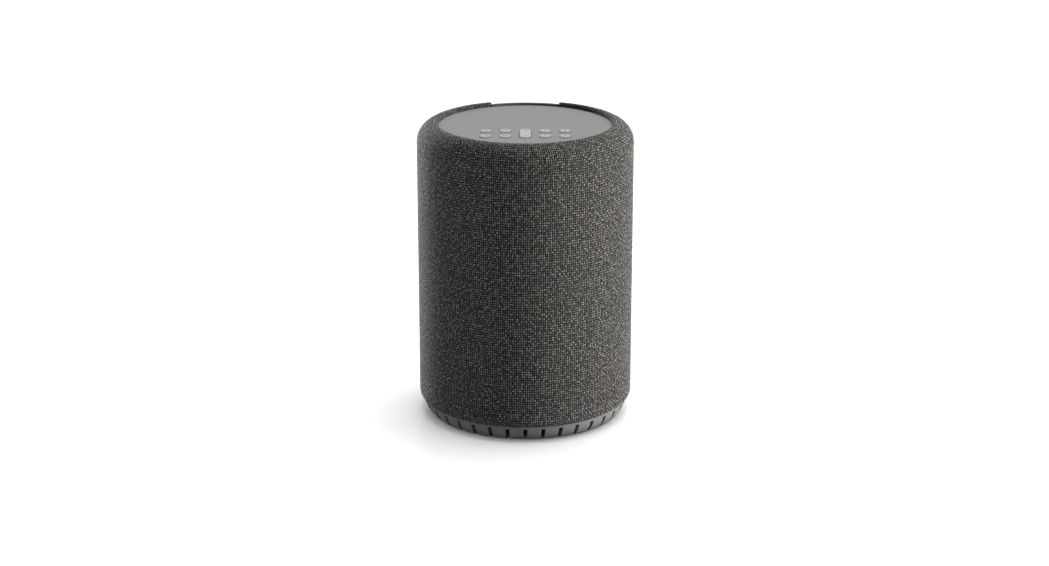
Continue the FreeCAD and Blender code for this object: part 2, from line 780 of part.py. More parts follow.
WOOFER_SCREW_RAD = 42.6
WOOFER_SCREWS = [(x, S.woofer_level + z) for x, z in around(6, WOOFER_SCREW_RAD, 30.0)]
TWEETER_SCREWS = [(x, S.tweeter_level + z) for x, z in around(3, 17.8, 90.0)]
RADIATOR_SCREWS = [(x, y) for x, y in around(6, 41.6, 30.0)]
CONE_RAD = 33.0
BASKET_INNER = 39.2
COIL_INNER = 12.0
COIL_OUTER = 12.7


def dome_arc(half, rise):
    """Radius of a dome that is 2 * half wide and rise high."""
    return (half ** 2 + rise ** 2) / (2 * rise)


def woofer_part(name, corners):
    return turned(name, corners, 0, S.baffle_front, S.woofer_level, "front")


def woofer_basket():
    """Pressed frame: flange, sloping wall with windows, and the seat of the magnet."""
    basket = woofer_part("basket", [
        (BASKET_INNER, -1.4),
        (28.1, -18.9),
        (25.5, -18.9),
        (25.5, -20.0),
        (14.0, -20.0),
        (14.0, -21.6),
        (28.6, -21.6),
        (BASKET_INNER + 1.2, -1.8),
        (BASKET_INNER + 1.2, 0),
        (S.woofer_rad, 0),
        (S.woofer_rad, 2.5),
        (BASKET_INNER, 2.5),
    ])
    pierce(basket, "basket_windows", [(8.0, -17.0, -5.0)], 3)
    holes = [cylinder(f"basket_hole_{index}", SCREW_HOLE, 6.0, x, S.baffle_front + 1, z, "front")
             for index, (x, z) in enumerate(WOOFER_SCREWS)]
    node(cut("woofer_basket", basket, *holes), "woofer_basket")


def woofer_cone():
    """Cone, dust cap and voice-coil former, which move together."""
    node(woofer_part("woofer_cone", [
        (0, -8.9),
        (0, -8.0, dome_arc(COIL_INNER, 3.2), -1),
        (COIL_INNER, -11.2),
        (CONE_RAD, -0.6),
        (CONE_RAD, -1.6),
        (COIL_OUTER, -12.2),
        (COIL_OUTER, -27.0),
        (COIL_INNER, -27.0),
        (COIL_INNER, -12.4, dome_arc(COIL_INNER, 3.5), 1),
    ]), "woofer_cone")


def roll(name, inner, outer, low, maker):
    """Half-roll between two radii, rising from a flat lip at each edge."""
    thick, lip = 0.8, 0.2
    high = low + thick
    radius = (outer - inner) / 2 - lip
    node(maker(name, [
        (inner, high),
        (inner, low),
        (inner + lip + thick, low, radius - thick + ARC_SLACK, -1),
        (outer - lip - thick, low),
        (outer, low),
        (outer, high),
        (outer - lip, high, radius + ARC_SLACK, 1),
        (inner + lip, high),
    ]), name)


def woofer_surround():
    """Rubber roll between the cone's edge and the basket."""
    roll("woofer_surround", CONE_RAD, BASKET_INNER, -1.4, woofer_part)


def woofer_spider():
    node(ring("woofer_spider", COIL_OUTER, 28.0, -18.9, -18.3, 0, S.baffle_front, S.woofer_level,
              "front"), "woofer_spider")


def woofer_magnet():
    """Ferrite ring."""
    node(ring("woofer_magnet", 16.0, 30.0, -39.6, -25.6, 0, S.baffle_front, S.woofer_level, "front"),
         "woofer_magnet")


def woofer_top_plate():
    node(ring("woofer_top_plate", 13.5, 27.0, -25.6, -21.6, 0, S.baffle_front, S.woofer_level,
              "front"), "woofer_top_plate")


def woofer_yoke():
    """Back plate with the pole piece inside the voice coil."""
    pole = 11.2
    node(woofer_part("woofer_yoke", [
        (0, -43.6),
        (28.0, -43.6),
        (28.0, -39.6),
        (pole, -39.6),
        (pole, -21.6),
        (0, -21.6),
    ]), "woofer_yoke")


def tweeter_part(name, corners):
    return turned(name, corners, 0, S.baffle_front, S.tweeter_level, "front")


def tweeter_plate():
    """Face plate with a short flare round the dome."""
    plate = tweeter_part("tweeter_face", [
        (10.8, 0),
        (S.tweeter_rad, 0),
        (S.tweeter_rad, 2.0),
        (13.0, 2.0),
        (10.8, 0.8),
    ])
    holes = [cylinder(f"tweeter_hole_{index}", SCREW_HOLE, 6.0, x, S.baffle_front + 1, z, "front")
             for index, (x, z) in enumerate(TWEETER_SCREWS)]
    node(cut("tweeter_plate", plate, *holes), "tweeter_plate")


def tweeter_dome():
    """Silk dome with its coil former."""
    node(tweeter_part("tweeter_dome", [
        (0, 3.2),
        (0, 2.8, dome_arc(9.0, 2.6), -1),
        (9.0, 0.2),
        (9.0, -3.0),
        (9.4, -3.0),
        (9.4, 0.4, dome_arc(9.4, 2.8), 1),
    ]), "tweeter_dome")


def tweeter_surround():
    node(ring("tweeter_surround", 9.4, 10.8, -0.4, 0, 0, S.baffle_front, S.tweeter_level, "front"),
         "tweeter_surround")


def tweeter_magnet():
    """Cup magnet with the pole under the dome."""
    node(tweeter_part("tweeter_magnet", [
        (0, -14.0),
        (14.0, -14.0),
        (14.0, -0.4),
        (10.0, -0.4),
        (10.0, -4.5),
        (8.4, -4.5),
        (8.4, -1.0),
        (0, -1.0),
    ]), "tweeter_magnet")


def driver_screws():
    screws = [screw(f"woofer_screw_{index}", x, S.baffle_front - 2.5, z, 6.0, "front")
              for index, (x, z) in enumerate(WOOFER_SCREWS)]
    screws += [screw(f"tweeter_screw_{index}", x, S.baffle_front - 2.0, z, 5.5, "front")
               for index, (x, z) in enumerate(TWEETER_SCREWS)]
    node(group("driver_screws", *screws), "driver_screws")


RADIATOR_LOW = S.floor_low - 2.5
RADIATOR_INNER = 39.0
DIAPHRAGM_RAD = 32.0


def radiator_frame():
    frame = ring("radiator_ring", RADIATOR_INNER, S.radiator_rad, RADIATOR_LOW, S.floor_low)
    holes = [cylinder(f"radiator_hole_{index}", SCREW_HOLE, 6.0, x, y, S.floor_low - 4)
             for index, (x, y) in enumerate(RADIATOR_SCREWS)]
    node(cut("radiator_frame", frame, *holes), "radiator_frame")


def radiator_surround():
    """Rubber roll of the bottom radiator, bulging into the cabinet."""
    roll("radiator_surround", DIAPHRAGM_RAD, RADIATOR_INNER, RADIATOR_LOW.value, turned)


def radiator_diaphragm():
    """Flat plate with a weight bonded on top."""
    low = RADIATOR_LOW
    node(turned("radiator_diaphragm", [
        (0, low),
        (DIAPHRAGM_RAD, low),
        (DIAPHRAGM_RAD, low + 0.8),
        (16.0, low + 2.0),
        (16.0, low + 4.5),
        (0, low + 4.5),
    ]), "radiator_diaphragm")


def radiator_screws():
    screws = [rising_screw(f"radiator_screw_{index}", x, y, RADIATOR_LOW, 5.4)
              for index, (x, y) in enumerate(RADIATOR_SCREWS)]
    node(group("radiator_screws", *screws), "radiator_screws")


# ---------------------------------------------------------------- rear connectors

def stadium_slot(name, half_width, half_height, y_low, y_high, x, z):
    """A flat-sided opening with round ends, through Y."""
    straight = half_width - half_height
    middle = box(name + "_middle", (x - straight, x + straight), (y_low, y_high),
                 (z - half_height, z + half_height))
    ends = [cylinder(f"{name}_end_{index}", half_height, length(y_high) - y_low, x + side * straight,
                     y_low, z, "rear")
            for index, side in enumerate((-1, 1))]
    return fuse(name, middle, *ends)


INLET_HALF = 7.4
INLET_RISE = 4.2
INLET_BACK = 43.0
INLET_BLOCK_HALF = 11.0
INLET_BLOCK_RISE = 7.0
INLET_PIN_RAD = 1.2
INLET_PIN_LENGTH = 10.0
JACK_NOSE_RAD = 3.0
JACK_BLOCK_HALF = 4.0
PORT_HALF = 4.6
PORT_RISE = 1.7


def connector_tub():
    """Moulded recess that keeps the plugs inside the outline."""
    floor_out = S.tub_floor + S.tub_wall
    block = box("tub_block", either_side(S.tub_half), (S.tub_floor, CUTTER), (S.tub_low, S.tub_high))
    limit = cylinder("tub_limit", SHELL_INNER, S.tub_high, 0, 0, 0)
    hollow = box("tub_hollow", either_side(S.tub_half - S.tub_wall), (floor_out, CUTTER),
                 (S.tub_low + S.tub_wall, S.tub_high - S.tub_wall))
    through = (S.tub_floor - 1, floor_out + 1)
    inlet = stadium_slot("tub_inlet_hole", INLET_HALF, INLET_RISE, *through, 0, S.inlet_level)
    port = stadium_slot("tub_port_hole", PORT_HALF, PORT_RISE, *through, S.port_offset, S.port_level)
    jack = cylinder("tub_jack_hole", JACK_NOSE_RAD, 4, -S.port_offset, through[0], S.port_level, "rear")
    button = cylinder("tub_button_hole", S.pairing_rad + 0.2, 4, 0, through[0], S.pairing_level, "rear")
    node(cut("connector_tub", common("tub_outline", block, limit), hollow, inlet, port, jack, button),
         "connector_tub")


def mains_inlet():
    """Two-pin socket behind the recess floor."""
    front = S.tub_floor
    block = box("inlet_block", either_side(length(INLET_BLOCK_HALF)), (INLET_BACK, front),
                (S.inlet_level - INLET_BLOCK_RISE, S.inlet_level + INLET_BLOCK_RISE))
    cavity = stadium_slot("inlet_cavity", INLET_HALF, INLET_RISE, INLET_BACK + 2, front + 1, 0,
                          S.inlet_level)
    node(cut("mains_inlet", block, cavity), "mains_inlet")


def inlet_pins():
    pins = [cylinder(f"inlet_pin_{index}", INLET_PIN_RAD, INLET_PIN_LENGTH,
                     side * S.inlet_pin_half_pitch, INLET_BACK + 2, S.inlet_level, "rear")
            for index, side in enumerate((-1, 1))]
    node(group("inlet_pins", *pins), "inlet_pins")


def aux_jack():
    """Audio socket: a square body with a round nose in the recess floor."""
    rear = S.tub_floor + S.tub_wall
    block = box("jack_block", (-S.port_offset - JACK_BLOCK_HALF, -S.port_offset + JACK_BLOCK_HALF),
                (S.port_board_face, S.tub_floor),
                (S.port_level - JACK_BLOCK_HALF, S.port_level + JACK_BLOCK_HALF))
    nose = cylinder("jack_nose", JACK_NOSE_RAD, S.tub_wall + 1, -S.port_offset, S.tub_floor - 1,
                    S.port_level, "rear")
    bore = cylinder("jack_bore", S.jack_bore_rad, S.jack_bore_depth, -S.port_offset,
                    rear - S.jack_bore_depth, S.port_level, "rear")
    node(cut("aux_jack", fuse("jack_solid", block, nose), bore), "aux_jack")


def service_port():
    """Small flat socket for servicing, with its contact tongue."""
    front = S.tub_floor + S.tub_wall - 0.2
    outer = stadium_slot("port_outer", PORT_HALF, PORT_RISE, S.port_board_face, front, S.port_offset,
                         S.port_level)
    hollow = stadium_slot("port_hollow", PORT_HALF - 0.4, PORT_RISE - 0.4, front - 6.5, front + 1,
                          S.port_offset, S.port_level)
    tongue = box("port_tongue", (S.port_offset - 3.2, S.port_offset + 3.2), (front - 7, front - 1.2),
                 (S.port_level - 0.35, S.port_level + 0.35))
    node(fuse("service_port", cut("port_tube", outer, hollow), tongue), "service_port")


def pairing_button():
    """Push button in the recess floor, with a flange behind it."""
    stand_out = 0.8
    face = S.tub_floor + S.tub_wall + stand_out
    cap = cylinder("pairing_cap", S.pairing_rad, face - S.tub_floor + 1.6, 0, S.tub_floor - 1.6,
                   S.pairing_level, "rear")
    flange = cylinder("pairing_flange", S.pairing_rad + 1, 1.0, 0, S.tub_floor - 1.1,
                      S.pairing_level, "rear")
    node(fuse("pairing_button", cap, flange), "pairing_button")


def port_board():
    """Small board that carries the jack, the port and the switch behind the button."""
    plate = box("port_plate", either_side(length(15.0)), (S.port_board_face - S.board_thick,
                S.port_board_face), (37.0, 56.0))
    switch = box("pairing_switch", either_side(length(3.0)), (S.port_board_face, S.tub_floor - 2.3),
                 (S.pairing_level - 3, S.pairing_level + 3))
    node(fuse("port_board", plate, switch), "port_board")


# ---------------------------------------------------------------- electronics

def board(name, low, high, levels):
    blank = box(name + "_blank", either_side(S.board_half), (S.board_front, BOARD_BACK), (low, high))
    holes = [cylinder(f"{name}_hole_{index}", SCREW_HOLE, 4.0, x, S.board_front - 1, z, "rear")
             for index, (x, z) in enumerate(BOARD_BOSSES) if z in levels]
    node(cut(name, blank, *holes), name)


def power_board():
    board("power_board", S.power_low, S.power_high, (27.0, 83.0))


def main_board():
    board("main_board", S.main_low, S.main_high, (101.0, 155.0))


def board_screws():
    screws = [screw(f"board_screw_{index}", x, S.board_front, z, 7.0, "front")
              for index, (x, z) in enumerate(BOARD_BOSSES)]
    node(group("board_screws", *screws), "board_screws")


def power_components():
    """Transformer, smoothing capacitors and filter on the front of the power board."""
    front = S.board_front
    transformer = box("power_transformer", (-22.0, 4.0), (front - 19, front), (50.0, 74.0))
    cans = [cylinder(f"can_{index}", 5.0, 16.0, 14.0, front, 36.0 + 14.0 * index, "front")
            for index in range(3)]
    mains_filter = box("power_filter", (-24.0, -8.0), (front - 12, front), (28.0, 42.0))
    node(group("power_components", transformer, *cans, mains_filter), "power_components")


def main_board_chips():
    front = S.board_front
    chips = [
        box("chip_processor", (-9.0, 5.0), (front - 1.4, front), (120.0, 134.0)),
        box("chip_memory", (-9.0, 1.0), (front - 1.2, front), (138.0, 149.0)),
        box("chip_supply", (10.0, 16.0), (front - 1.2, front), (142.0, 148.0)),
    ]
    coils = [box(f"coil_{index}", (8.0, 15.0), (front - 5, front), (102.0 + 9 * index, 109.0 + 9 * index))
             for index in range(2)]
    node(group("main_board_chips", *chips, *coils), "main_board_chips")


def heat_sink():
    """Finned block on the amplifier."""
    front = S.board_front
    low, high = 100.0, 118.0
    base = box("sink_base", (-26.0, -4.0), (front - 3, front), (low, high))
    fins = [box(f"sink_fin_{index}", (-26.0 + 4 * index, -24.5 + 4 * index), (front - 12, front - 2),
                (low, high))
            for index in range(6)]
    node(fuse("heat_sink", base, *fins), "heat_sink")


def wireless_module():
    """Screened radio module with its stub antenna board."""
    front = S.board_front
    can = box("module_can", (14.0, 30.0), (front - 2.6, front), (118.0, 134.0))
    antenna = box("module_antenna", (14.0, 30.0), (front - 1.0, front), (134.0, 140.0))
    node(fuse("wireless_module", can, antenna), "wireless_module")


# ---------------------------------------------------------------- inner wiring

def lead(name, points, bend=3.5):
    """A round lead along straight runs joined by tangent arcs."""
    points = [V(*point) for point in points]
    edges = []
    here = points[0]
    for before, corner, after in zip(points, points[1:], points[2:]):
        into = (corner - before).normalize()
        out = (after - corner).normalize()
        half_turn = into.getAngle(out) / 2
        reach = bend * math.tan(half_turn)
        start, end = corner - into * reach, corner + out * reach
        inward = (out - into).normalize()
        middle = corner + inward * (bend / math.cos(half_turn) - bend)
        edges += [Part.LineSegment(here, start).toShape(), Part.Arc(start, middle, end).toShape()]
        here = end
    edges.append(Part.LineSegment(here, points[-1]).toShape())
    section = Part.Circle(points[0], points[1] - points[0], S.lead_rad.value)
    piece = doc.addObject("Part::Feature", name)
    piece.Shape = Part.Wire(edges).makePipeShell([Part.Wire([section.toShape()])], True, False)
    piece.Placement = FreeCAD.Placement()
    return piece


def straight_lead(name, start, end):
    """A lead along Y."""
    return cylinder(name, S.lead_rad, abs(end[1] - start[1]), start[0], min(start[1], end[1]), start[2],
                    "rear")


def inner_leads():
    """Pairs to the woofer and the tweeter, the supply pair and the inlet's pair."""
    front = S.board_front.value
    magnet_back = S.baffle_front.value + 14.0
    woofer_ends = [(17.0, 107.4), (20.5, 105.0)]
    leads = [straight_lead(f"woofer_lead_{index}", (x, front, z), (x, -29.2, z))
             for index, (x, z) in enumerate(woofer_ends)]
    for index in range(2):
        level = S.tweeter_level.value + 4 * index
        leads.append(lead(f"tweeter_lead_{index}", [
            (-16 - 3 * index, front, level),
            (-16 - 3 * index, 10 - 3 * index, level),
            (-4 - 3 * index, 10 - 3 * index, level),
            (-4 - 3 * index, magnet_back, level),
        ]))
        place = 23.6 + 2.3 * index
        leads.append(lead(f"supply_lead_{index}", [
            (place, front, 76),
            (place, front - 8, 76),
            (place, front - 8, 112),
            (place, front, 112),
        ]))
        place = (2 * index - 1) * S.inlet_pin_half_pitch.value
        level = S.inlet_level.value
        leads.append(straight_lead(f"inlet_lead_{index}", (place, BOARD_BACK.value, level),
                                   (place, INLET_BACK, level)))
    node(group("inner_leads", *leads), "inner_leads")


def ribbon_cable():
    """Flat ribbon from the main board through the deck to the key board."""
    back = RIBBON_PLACE
    front = back - RIBBON_THICK
    board_top = S.main_high - 3
    under = KEY_BOARD_LOW - RIBBON_THICK
    ribbon = slab("ribbon_cable", "YZ_Plane", [
        (S.board_front, board_top),
        (back, board_top + 3),
        (back, KEY_BOARD_LOW),
        (-8.0, KEY_BOARD_LOW),
        (-8.0, under),
        (front, under),
        (front, board_top + 2.6),
        (S.board_front, board_top - 0.6),
    ], 2 * RIBBON_HALF)
    node(ribbon, "ribbon_cable")


def build():
    for make in (
            fabric_sleeve, grille_shell, rear_spine, base_ring, rubber_feet,
            top_cap, round_keys, volume_rocker, rocker_pin, light_pipe, key_mat, key_board,
            key_board_screws, top_deck, cabinet_body, front_baffle, cabinet_floor, cabinet_screws,
            woofer_basket, woofer_cone, woofer_surround, woofer_spider, woofer_magnet,
            woofer_top_plate, woofer_yoke, tweeter_plate, tweeter_dome, tweeter_surround,
            tweeter_magnet, driver_screws,
            radiator_frame, radiator_surround, radiator_diaphragm, radiator_screws,
            connector_tub, mains_inlet, inlet_pins, aux_jack, service_port, pairing_button,
            port_board, power_board, main_board, board_screws, power_components,
            main_board_chips, heat_sink, wireless_module, ribbon_cable, inner_leads):
        make()


def check_states():
    doc.recompute()
    for piece in doc.Objects:
        if "Invalid" in piece.State or "Error" in piece.State:
            raise RuntimeError(f"{piece.Label} did not compute: {piece.State}")
    for piece in NODES:
        if piece.Shape.isNull() or not piece.Shape.isValid():
            raise RuntimeError(f"{piece.Label} has no valid shape")


def export():
    os.makedirs("parts", exist_ok=True)
    for piece in NODES:
        piece.Shape.exportStep(f"parts/{piece.Label}.step")
        print(piece.Label, len(piece.Shape.Solids), round(piece.Shape.Volume, 1))
    print(len(NODES), "nodes")


build()
check_states()
export()
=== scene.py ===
"""The looks of a cloth-covered smart home hub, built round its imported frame. Blender 4.5."""
import functools
import json
import math

import bmesh
import bpy
import numpy as np
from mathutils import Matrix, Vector


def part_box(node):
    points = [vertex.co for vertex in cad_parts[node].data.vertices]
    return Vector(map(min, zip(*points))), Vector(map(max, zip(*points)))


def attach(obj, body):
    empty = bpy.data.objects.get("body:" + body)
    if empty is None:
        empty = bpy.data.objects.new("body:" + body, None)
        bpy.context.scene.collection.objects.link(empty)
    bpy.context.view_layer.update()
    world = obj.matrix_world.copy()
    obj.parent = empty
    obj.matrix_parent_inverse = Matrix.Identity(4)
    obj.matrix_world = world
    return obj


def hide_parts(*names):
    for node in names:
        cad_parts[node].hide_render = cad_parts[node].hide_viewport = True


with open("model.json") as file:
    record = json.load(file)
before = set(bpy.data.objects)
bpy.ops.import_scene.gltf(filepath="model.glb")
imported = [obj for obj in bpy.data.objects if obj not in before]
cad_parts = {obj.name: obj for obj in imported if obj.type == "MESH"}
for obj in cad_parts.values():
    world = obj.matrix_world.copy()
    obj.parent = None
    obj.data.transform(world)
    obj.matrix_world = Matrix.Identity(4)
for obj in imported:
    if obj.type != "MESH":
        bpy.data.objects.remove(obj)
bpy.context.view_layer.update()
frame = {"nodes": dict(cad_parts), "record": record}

MM = 0.001

# ------------------------------------------------------------------ sizes read from the frame

SLEEVE_LOW, SLEEVE_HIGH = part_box("fabric_sleeve")
RING_LOW, RING_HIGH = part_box("base_ring")
ROCKER_LOW, ROCKER_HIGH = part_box("volume_rocker")


# ------------------------------------------------------------------ material helpers

class Tree:
    """Short calls for one material's node tree. Sockets and plain numbers can be mixed freely."""

    def __init__(self, name):
        self.material = bpy.data.materials.new(name)
        self.material.use_nodes = True
        self.nodes = self.material.node_tree.nodes
        self.links = self.material.node_tree.links
        self.nodes.clear()
        self.output = self.nodes.new("ShaderNodeOutputMaterial")
        self.shader = self.nodes.new("ShaderNodeBsdfPrincipled")
        self.links.new(self.shader.outputs["BSDF"], self.output.inputs["Surface"])

    def feed(self, socket, value):
        if isinstance(value, bpy.types.NodeSocket):
            self.links.new(value, socket)
        else:
            socket.default_value = value

    def set(self, **values):
        """Set or link sockets of the Principled shader; an underscore stands for a space."""
        for name, value in values.items():
            self.feed(self.shader.inputs[name.replace("_", " ")], value)
        return self

    def math(self, operation, *values, clamp=False):
        node = self.nodes.new("ShaderNodeMath")
        node.operation = operation
        node.use_clamp = clamp
        for socket, value in zip(node.inputs, values):
            self.feed(socket, value)
        return node.outputs[0]

    def scaled(self, value, scale, offset=0.0):
        return self.math("MULTIPLY_ADD", value, scale, offset)

    def about(self, value, middle, spread):
        """A value from 0 to 1, turned into numbers spread evenly about a middle."""
        return self.scaled(value, spread, middle - spread / 2)

    def total(self, *values):
        return functools.reduce(lambda a, b: self.math("ADD", a, b), values)

    def blend(self, factor, low, high):
        """low where factor is 0, high where it is 1."""
        node = self.nodes.new("ShaderNodeMix")
        node.data_type = "FLOAT"
        for socket, value in zip((node.inputs[0], node.inputs[2], node.inputs[3]), (factor, low, high)):
            self.feed(socket, value)
        return node.outputs[0]

    def ramp(self, factor, stops):
        node = self.nodes.new("ShaderNodeValToRGB")
        elements = node.color_ramp.elements
        while len(elements) < len(stops):
            elements.new(0.5)
        for element, (place, colour) in zip(elements, stops):
            element.position = place
            element.color = (*colour, 1.0)
        self.feed(node.inputs["Fac"], factor)
        return node.outputs["Color"]

    def tint(self, colour, factor):
        """Multiply a colour by a number."""
        node = self.nodes.new("ShaderNodeVectorMath")
        node.operation = "SCALE"
        self.feed(node.inputs[0], colour)
        self.feed(node.inputs["Scale"], factor)
        return node.outputs[0]

    def place(self):
        return self.nodes.new("ShaderNodeTexCoord").outputs["Object"]

    def stretched(self, vector, scales):
        node = self.nodes.new("ShaderNodeMapping")
        node.inputs["Scale"].default_value = scales
        self.links.new(vector, node.inputs["Vector"])
        return node.outputs[0]

    def noise(self, vector, scale, detail=2.0, roughness=0.5):
        """Smooth noise about 0.5; over an object's place, the scale is in waves per metre."""
        node = self.nodes.new("ShaderNodeTexNoise")
        self.links.new(vector, node.inputs["Vector"])
        for name, value in (("Scale", scale), ("Detail", detail), ("Roughness", roughness)):
            node.inputs[name].default_value = value
        return node.outputs["Fac"]

    def point(self, *values):
        join = self.nodes.new("ShaderNodeCombineXYZ")
        for socket, value in zip(join.inputs, values):
            self.feed(socket, value)
        return join.outputs[0]

    def random(self, *values):
        """A steady random number from 0 to 1 for up to three whole numbers."""
        node = self.nodes.new("ShaderNodeTexWhiteNoise")
        self.links.new(self.point(*values), node.inputs["Vector"])
        return node.outputs["Value"]

    def bump(self, height, distance, strength=1.0):
        node = self.nodes.new("ShaderNodeBump")
        node.inputs["Distance"].default_value = distance
        node.inputs["Strength"].default_value = strength
        self.links.new(height, node.inputs["Height"])
        self.links.new(node.outputs[0], self.shader.inputs["Normal"])
        return self


def shades(colour, low, high):
    """Ramp stops that run from a darker to a lighter shade over the middle half of a noise."""
    return [(0.25, [c * low for c in colour]), (0.75, [c * high for c in colour])]


# ------------------------------------------------------------------ materials

# The weave. Lengths are in threads; shares of light run from 0, the darkest yarn, to 1.
SHIFT = 0.5              # how far a strand strays sideways
SHIFT_PACE = 0.9         # and how often
STRAND_NARROWING = 1.18  # over 1, so that gaps show between strands
STRAND_VARIETY = 0.30
COLUMN_SHARE = 0.5       # how much of a strand's width runs on along it
BOW = 0.50               # how far a strand dives at the ends of a crossing
FIBRE_FINE = 9.0         # fibres side by side in a strand
FIBRE_LONG = 2.0         # and end to end over a crossing
FIBRE_RELIEF = 0.30
TWIST_RELIEF = 0.04
TWIST_PITCH = 8.0        # radians along half a crossing
TWIST_SLANT = 3.5        # and across it
SHADE_RUN = 0.31         # shade changes per thread along one yarn
RUN_LIGHT = 0.12
SPOT_LIGHT = 0.62
NEIGHBOUR_LIGHT = -0.066
FIBRE_LIGHT = 0.80
BASE_LIGHT = -0.150
# painted shade in the gaps between strands and at the ends of each crossing: how fast it deepens as a strand
# sinks, and the share of colour that the deepest gap keeps
GAP_SHADE_FALLOFF = 2.7
GAP_SHADE_FLOOR = 0.015
WEAVE_BUMP = 0.45 * MM

CLOTH_SHADES = [
    (0.00, (0.0135, 0.0127, 0.0121)),
    (0.30, (0.0520, 0.0491, 0.0457)),
    (0.60, (0.1248, 0.1169, 0.1077)),
    (1.00, (0.2809, 0.2627, 0.2412)),
]

# seeds that keep the weave's random numbers apart
SLACK_SEED, SWAY_SEED = 3.0, 8.0
WARP_WIDTH_SEED, WEFT_WIDTH_SEED, CROSSING_WIDTH_SEED = 3.0, 9.0, 4.0
WARP_FIBRE_SEED, WEFT_FIBRE_SEED = 1.0, 5.0
WARP_RUN_SEED, WEFT_RUN_SEED, SPOT_SEED = 2.0, 7.0, 5.0


def weave_material():
    """Charcoal melange cloth in plain weave. The weave map counts threads: whole numbers are gaps."""
    t = Tree("cloth_melange")
    source = t.nodes.new("ShaderNodeUVMap")
    source.uv_map = "weave"
    split = t.nodes.new("ShaderNodeSeparateXYZ")
    t.links.new(source.outputs[0], split.inputs[0])
    u, v = split.outputs[0], split.outputs[1]
    slack, sway = (t.noise(t.point(t.scaled(u, SHIFT_PACE), t.scaled(v, SHIFT_PACE), seed),
                           scale=1.0, detail=1.0) for seed in (SLACK_SEED, SWAY_SEED))
    u = t.total(u, t.about(slack, middle=0.0, spread=SHIFT))
    v = t.total(v, t.about(sway, middle=0.0, spread=SHIFT))
    warp, weft = t.math("FLOOR", u), t.math("FLOOR", v)
    across_u = t.scaled(t.math("FRACT", u), 2.0, -1.0)
    across_v = t.scaled(t.math("FRACT", v), 2.0, -1.0)
    weft_on_top = t.math("PINGPONG", t.total(warp, weft), 1.0)
    along = t.blend(weft_on_top, across_v, across_u)
    across = t.blend(weft_on_top, across_u, across_v)

    # a strand is round across its width and bows over its crossing
    column = t.blend(weft_on_top, t.random(warp, WARP_WIDTH_SEED), t.random(weft, WEFT_WIDTH_SEED))
    width = t.total(t.scaled(column, COLUMN_SHARE), t.random(warp, weft, CROSSING_WIDTH_SEED))
    edge = t.math("MULTIPLY", across, t.scaled(width, STRAND_VARIETY, STRAND_NARROWING))
    round_top = t.math("SQRT", t.math("SUBTRACT", 1.0, t.math("MULTIPLY", edge, edge), clamp=True))
    bow = t.math("SUBTRACT", 1.0, t.scaled(t.math("MULTIPLY", along, along), BOW), clamp=True)
    height = t.math("MULTIPLY", round_top, bow)

    # fibres laid along each strand, and its twist
    run = t.blend(weft_on_top, t.point(t.scaled(u, FIBRE_FINE), t.scaled(v, FIBRE_LONG), WARP_FIBRE_SEED),
                  t.point(t.scaled(u, FIBRE_LONG), t.scaled(v, FIBRE_FINE), WEFT_FIBRE_SEED))
    fibre = t.noise(run, scale=1.0, detail=2.0, roughness=0.7)
    twist = t.math("SINE", t.total(t.scaled(along, TWIST_PITCH), t.scaled(across, TWIST_SLANT)))
    relief = t.total(height, t.scaled(fibre, FIBRE_RELIEF), t.scaled(twist, TWIST_RELIEF))

    # melange: every crossing has its own shade, set off from its neighbours', and so has each yarn's run
    yarn_run = t.blend(weft_on_top, t.random(warp, t.math("FLOOR", t.scaled(v, SHADE_RUN)), WARP_RUN_SEED),
                       t.random(t.math("FLOOR", t.scaled(u, SHADE_RUN)), weft, WEFT_RUN_SEED))
    spot = t.random(warp, weft, SPOT_SEED)
    around = t.total(*(t.random(t.total(warp, right), t.total(weft, up), SPOT_SEED)
                       for right, up in ((1.0, 0.0), (-1.0, 0.0), (0.0, 1.0), (0.0, -1.0))))
    contrast = t.total(t.scaled(spot, SPOT_LIGHT), t.scaled(around, NEIGHBOUR_LIGHT))
    light = t.total(t.scaled(yarn_run, RUN_LIGHT), contrast)
    light = t.math("ADD", light, t.scaled(fibre, FIBRE_LIGHT, BASE_LIGHT), clamp=True)
    # painted shade: the colour darkens with the strand's height, to nearly black in the gaps between strands
    # and less where a strand dives at a crossing's end
    painted_gap_shade = t.math("POWER", height, GAP_SHADE_FALLOFF)
    t.set(Base_Color=t.tint(t.ramp(light, CLOTH_SHADES), t.scaled(painted_gap_shade, 1 - GAP_SHADE_FLOOR, GAP_SHADE_FLOOR)),
          Roughness=0.9, Specular_IOR_Level=0.15, Sheen_Weight=0.12, Sheen_Roughness=0.35,
          Sheen_Tint=(0.85, 0.85, 0.85, 1.0))
    return t.bump(relief, WEAVE_BUMP).material


def moulded(name, colour, roughness, grain=0.012, grain_size=0.35, gloss=0.42):
    """Moulded plastic: fine spark-eroded grain, in mm, and faint cloudiness in colour and gloss."""
    t = Tree(name)
    place = t.place()
    fine = t.noise(place, scale=1 / (grain_size * MM), detail=3.0, roughness=0.6)
    cloud = t.noise(place, scale=60.0, detail=3.0)
    t.set(Base_Color=t.ramp(cloud, shades(colour, low=0.90, high=1.08)),
          Roughness=t.total(t.about(cloud, middle=roughness, spread=0.10),
                            t.about(fine, middle=0.0, spread=0.08)),
          Specular_IOR_Level=gloss)
    return t.bump(fine, grain * MM).material


def satin_paint(name, colour, roughness, flake):
    """Silver-grey satin lacquer with fine aluminium flake."""
    t = Tree(name)
    place = t.place()
    grain = t.noise(place, scale=9000.0, detail=1.0)
    cloud = t.noise(place, scale=35.0, detail=2.0)
    bright = t.total(t.about(grain, middle=1.0, spread=flake), t.about(cloud, middle=0.0, spread=0.05))
    t.set(Base_Color=t.tint(colour, bright), Roughness=t.about(grain, middle=roughness, spread=0.12),
          Specular_IOR_Level=0.22)
    return t.bump(t.noise(place, scale=2600.0, detail=2.0), 0.004 * MM).material


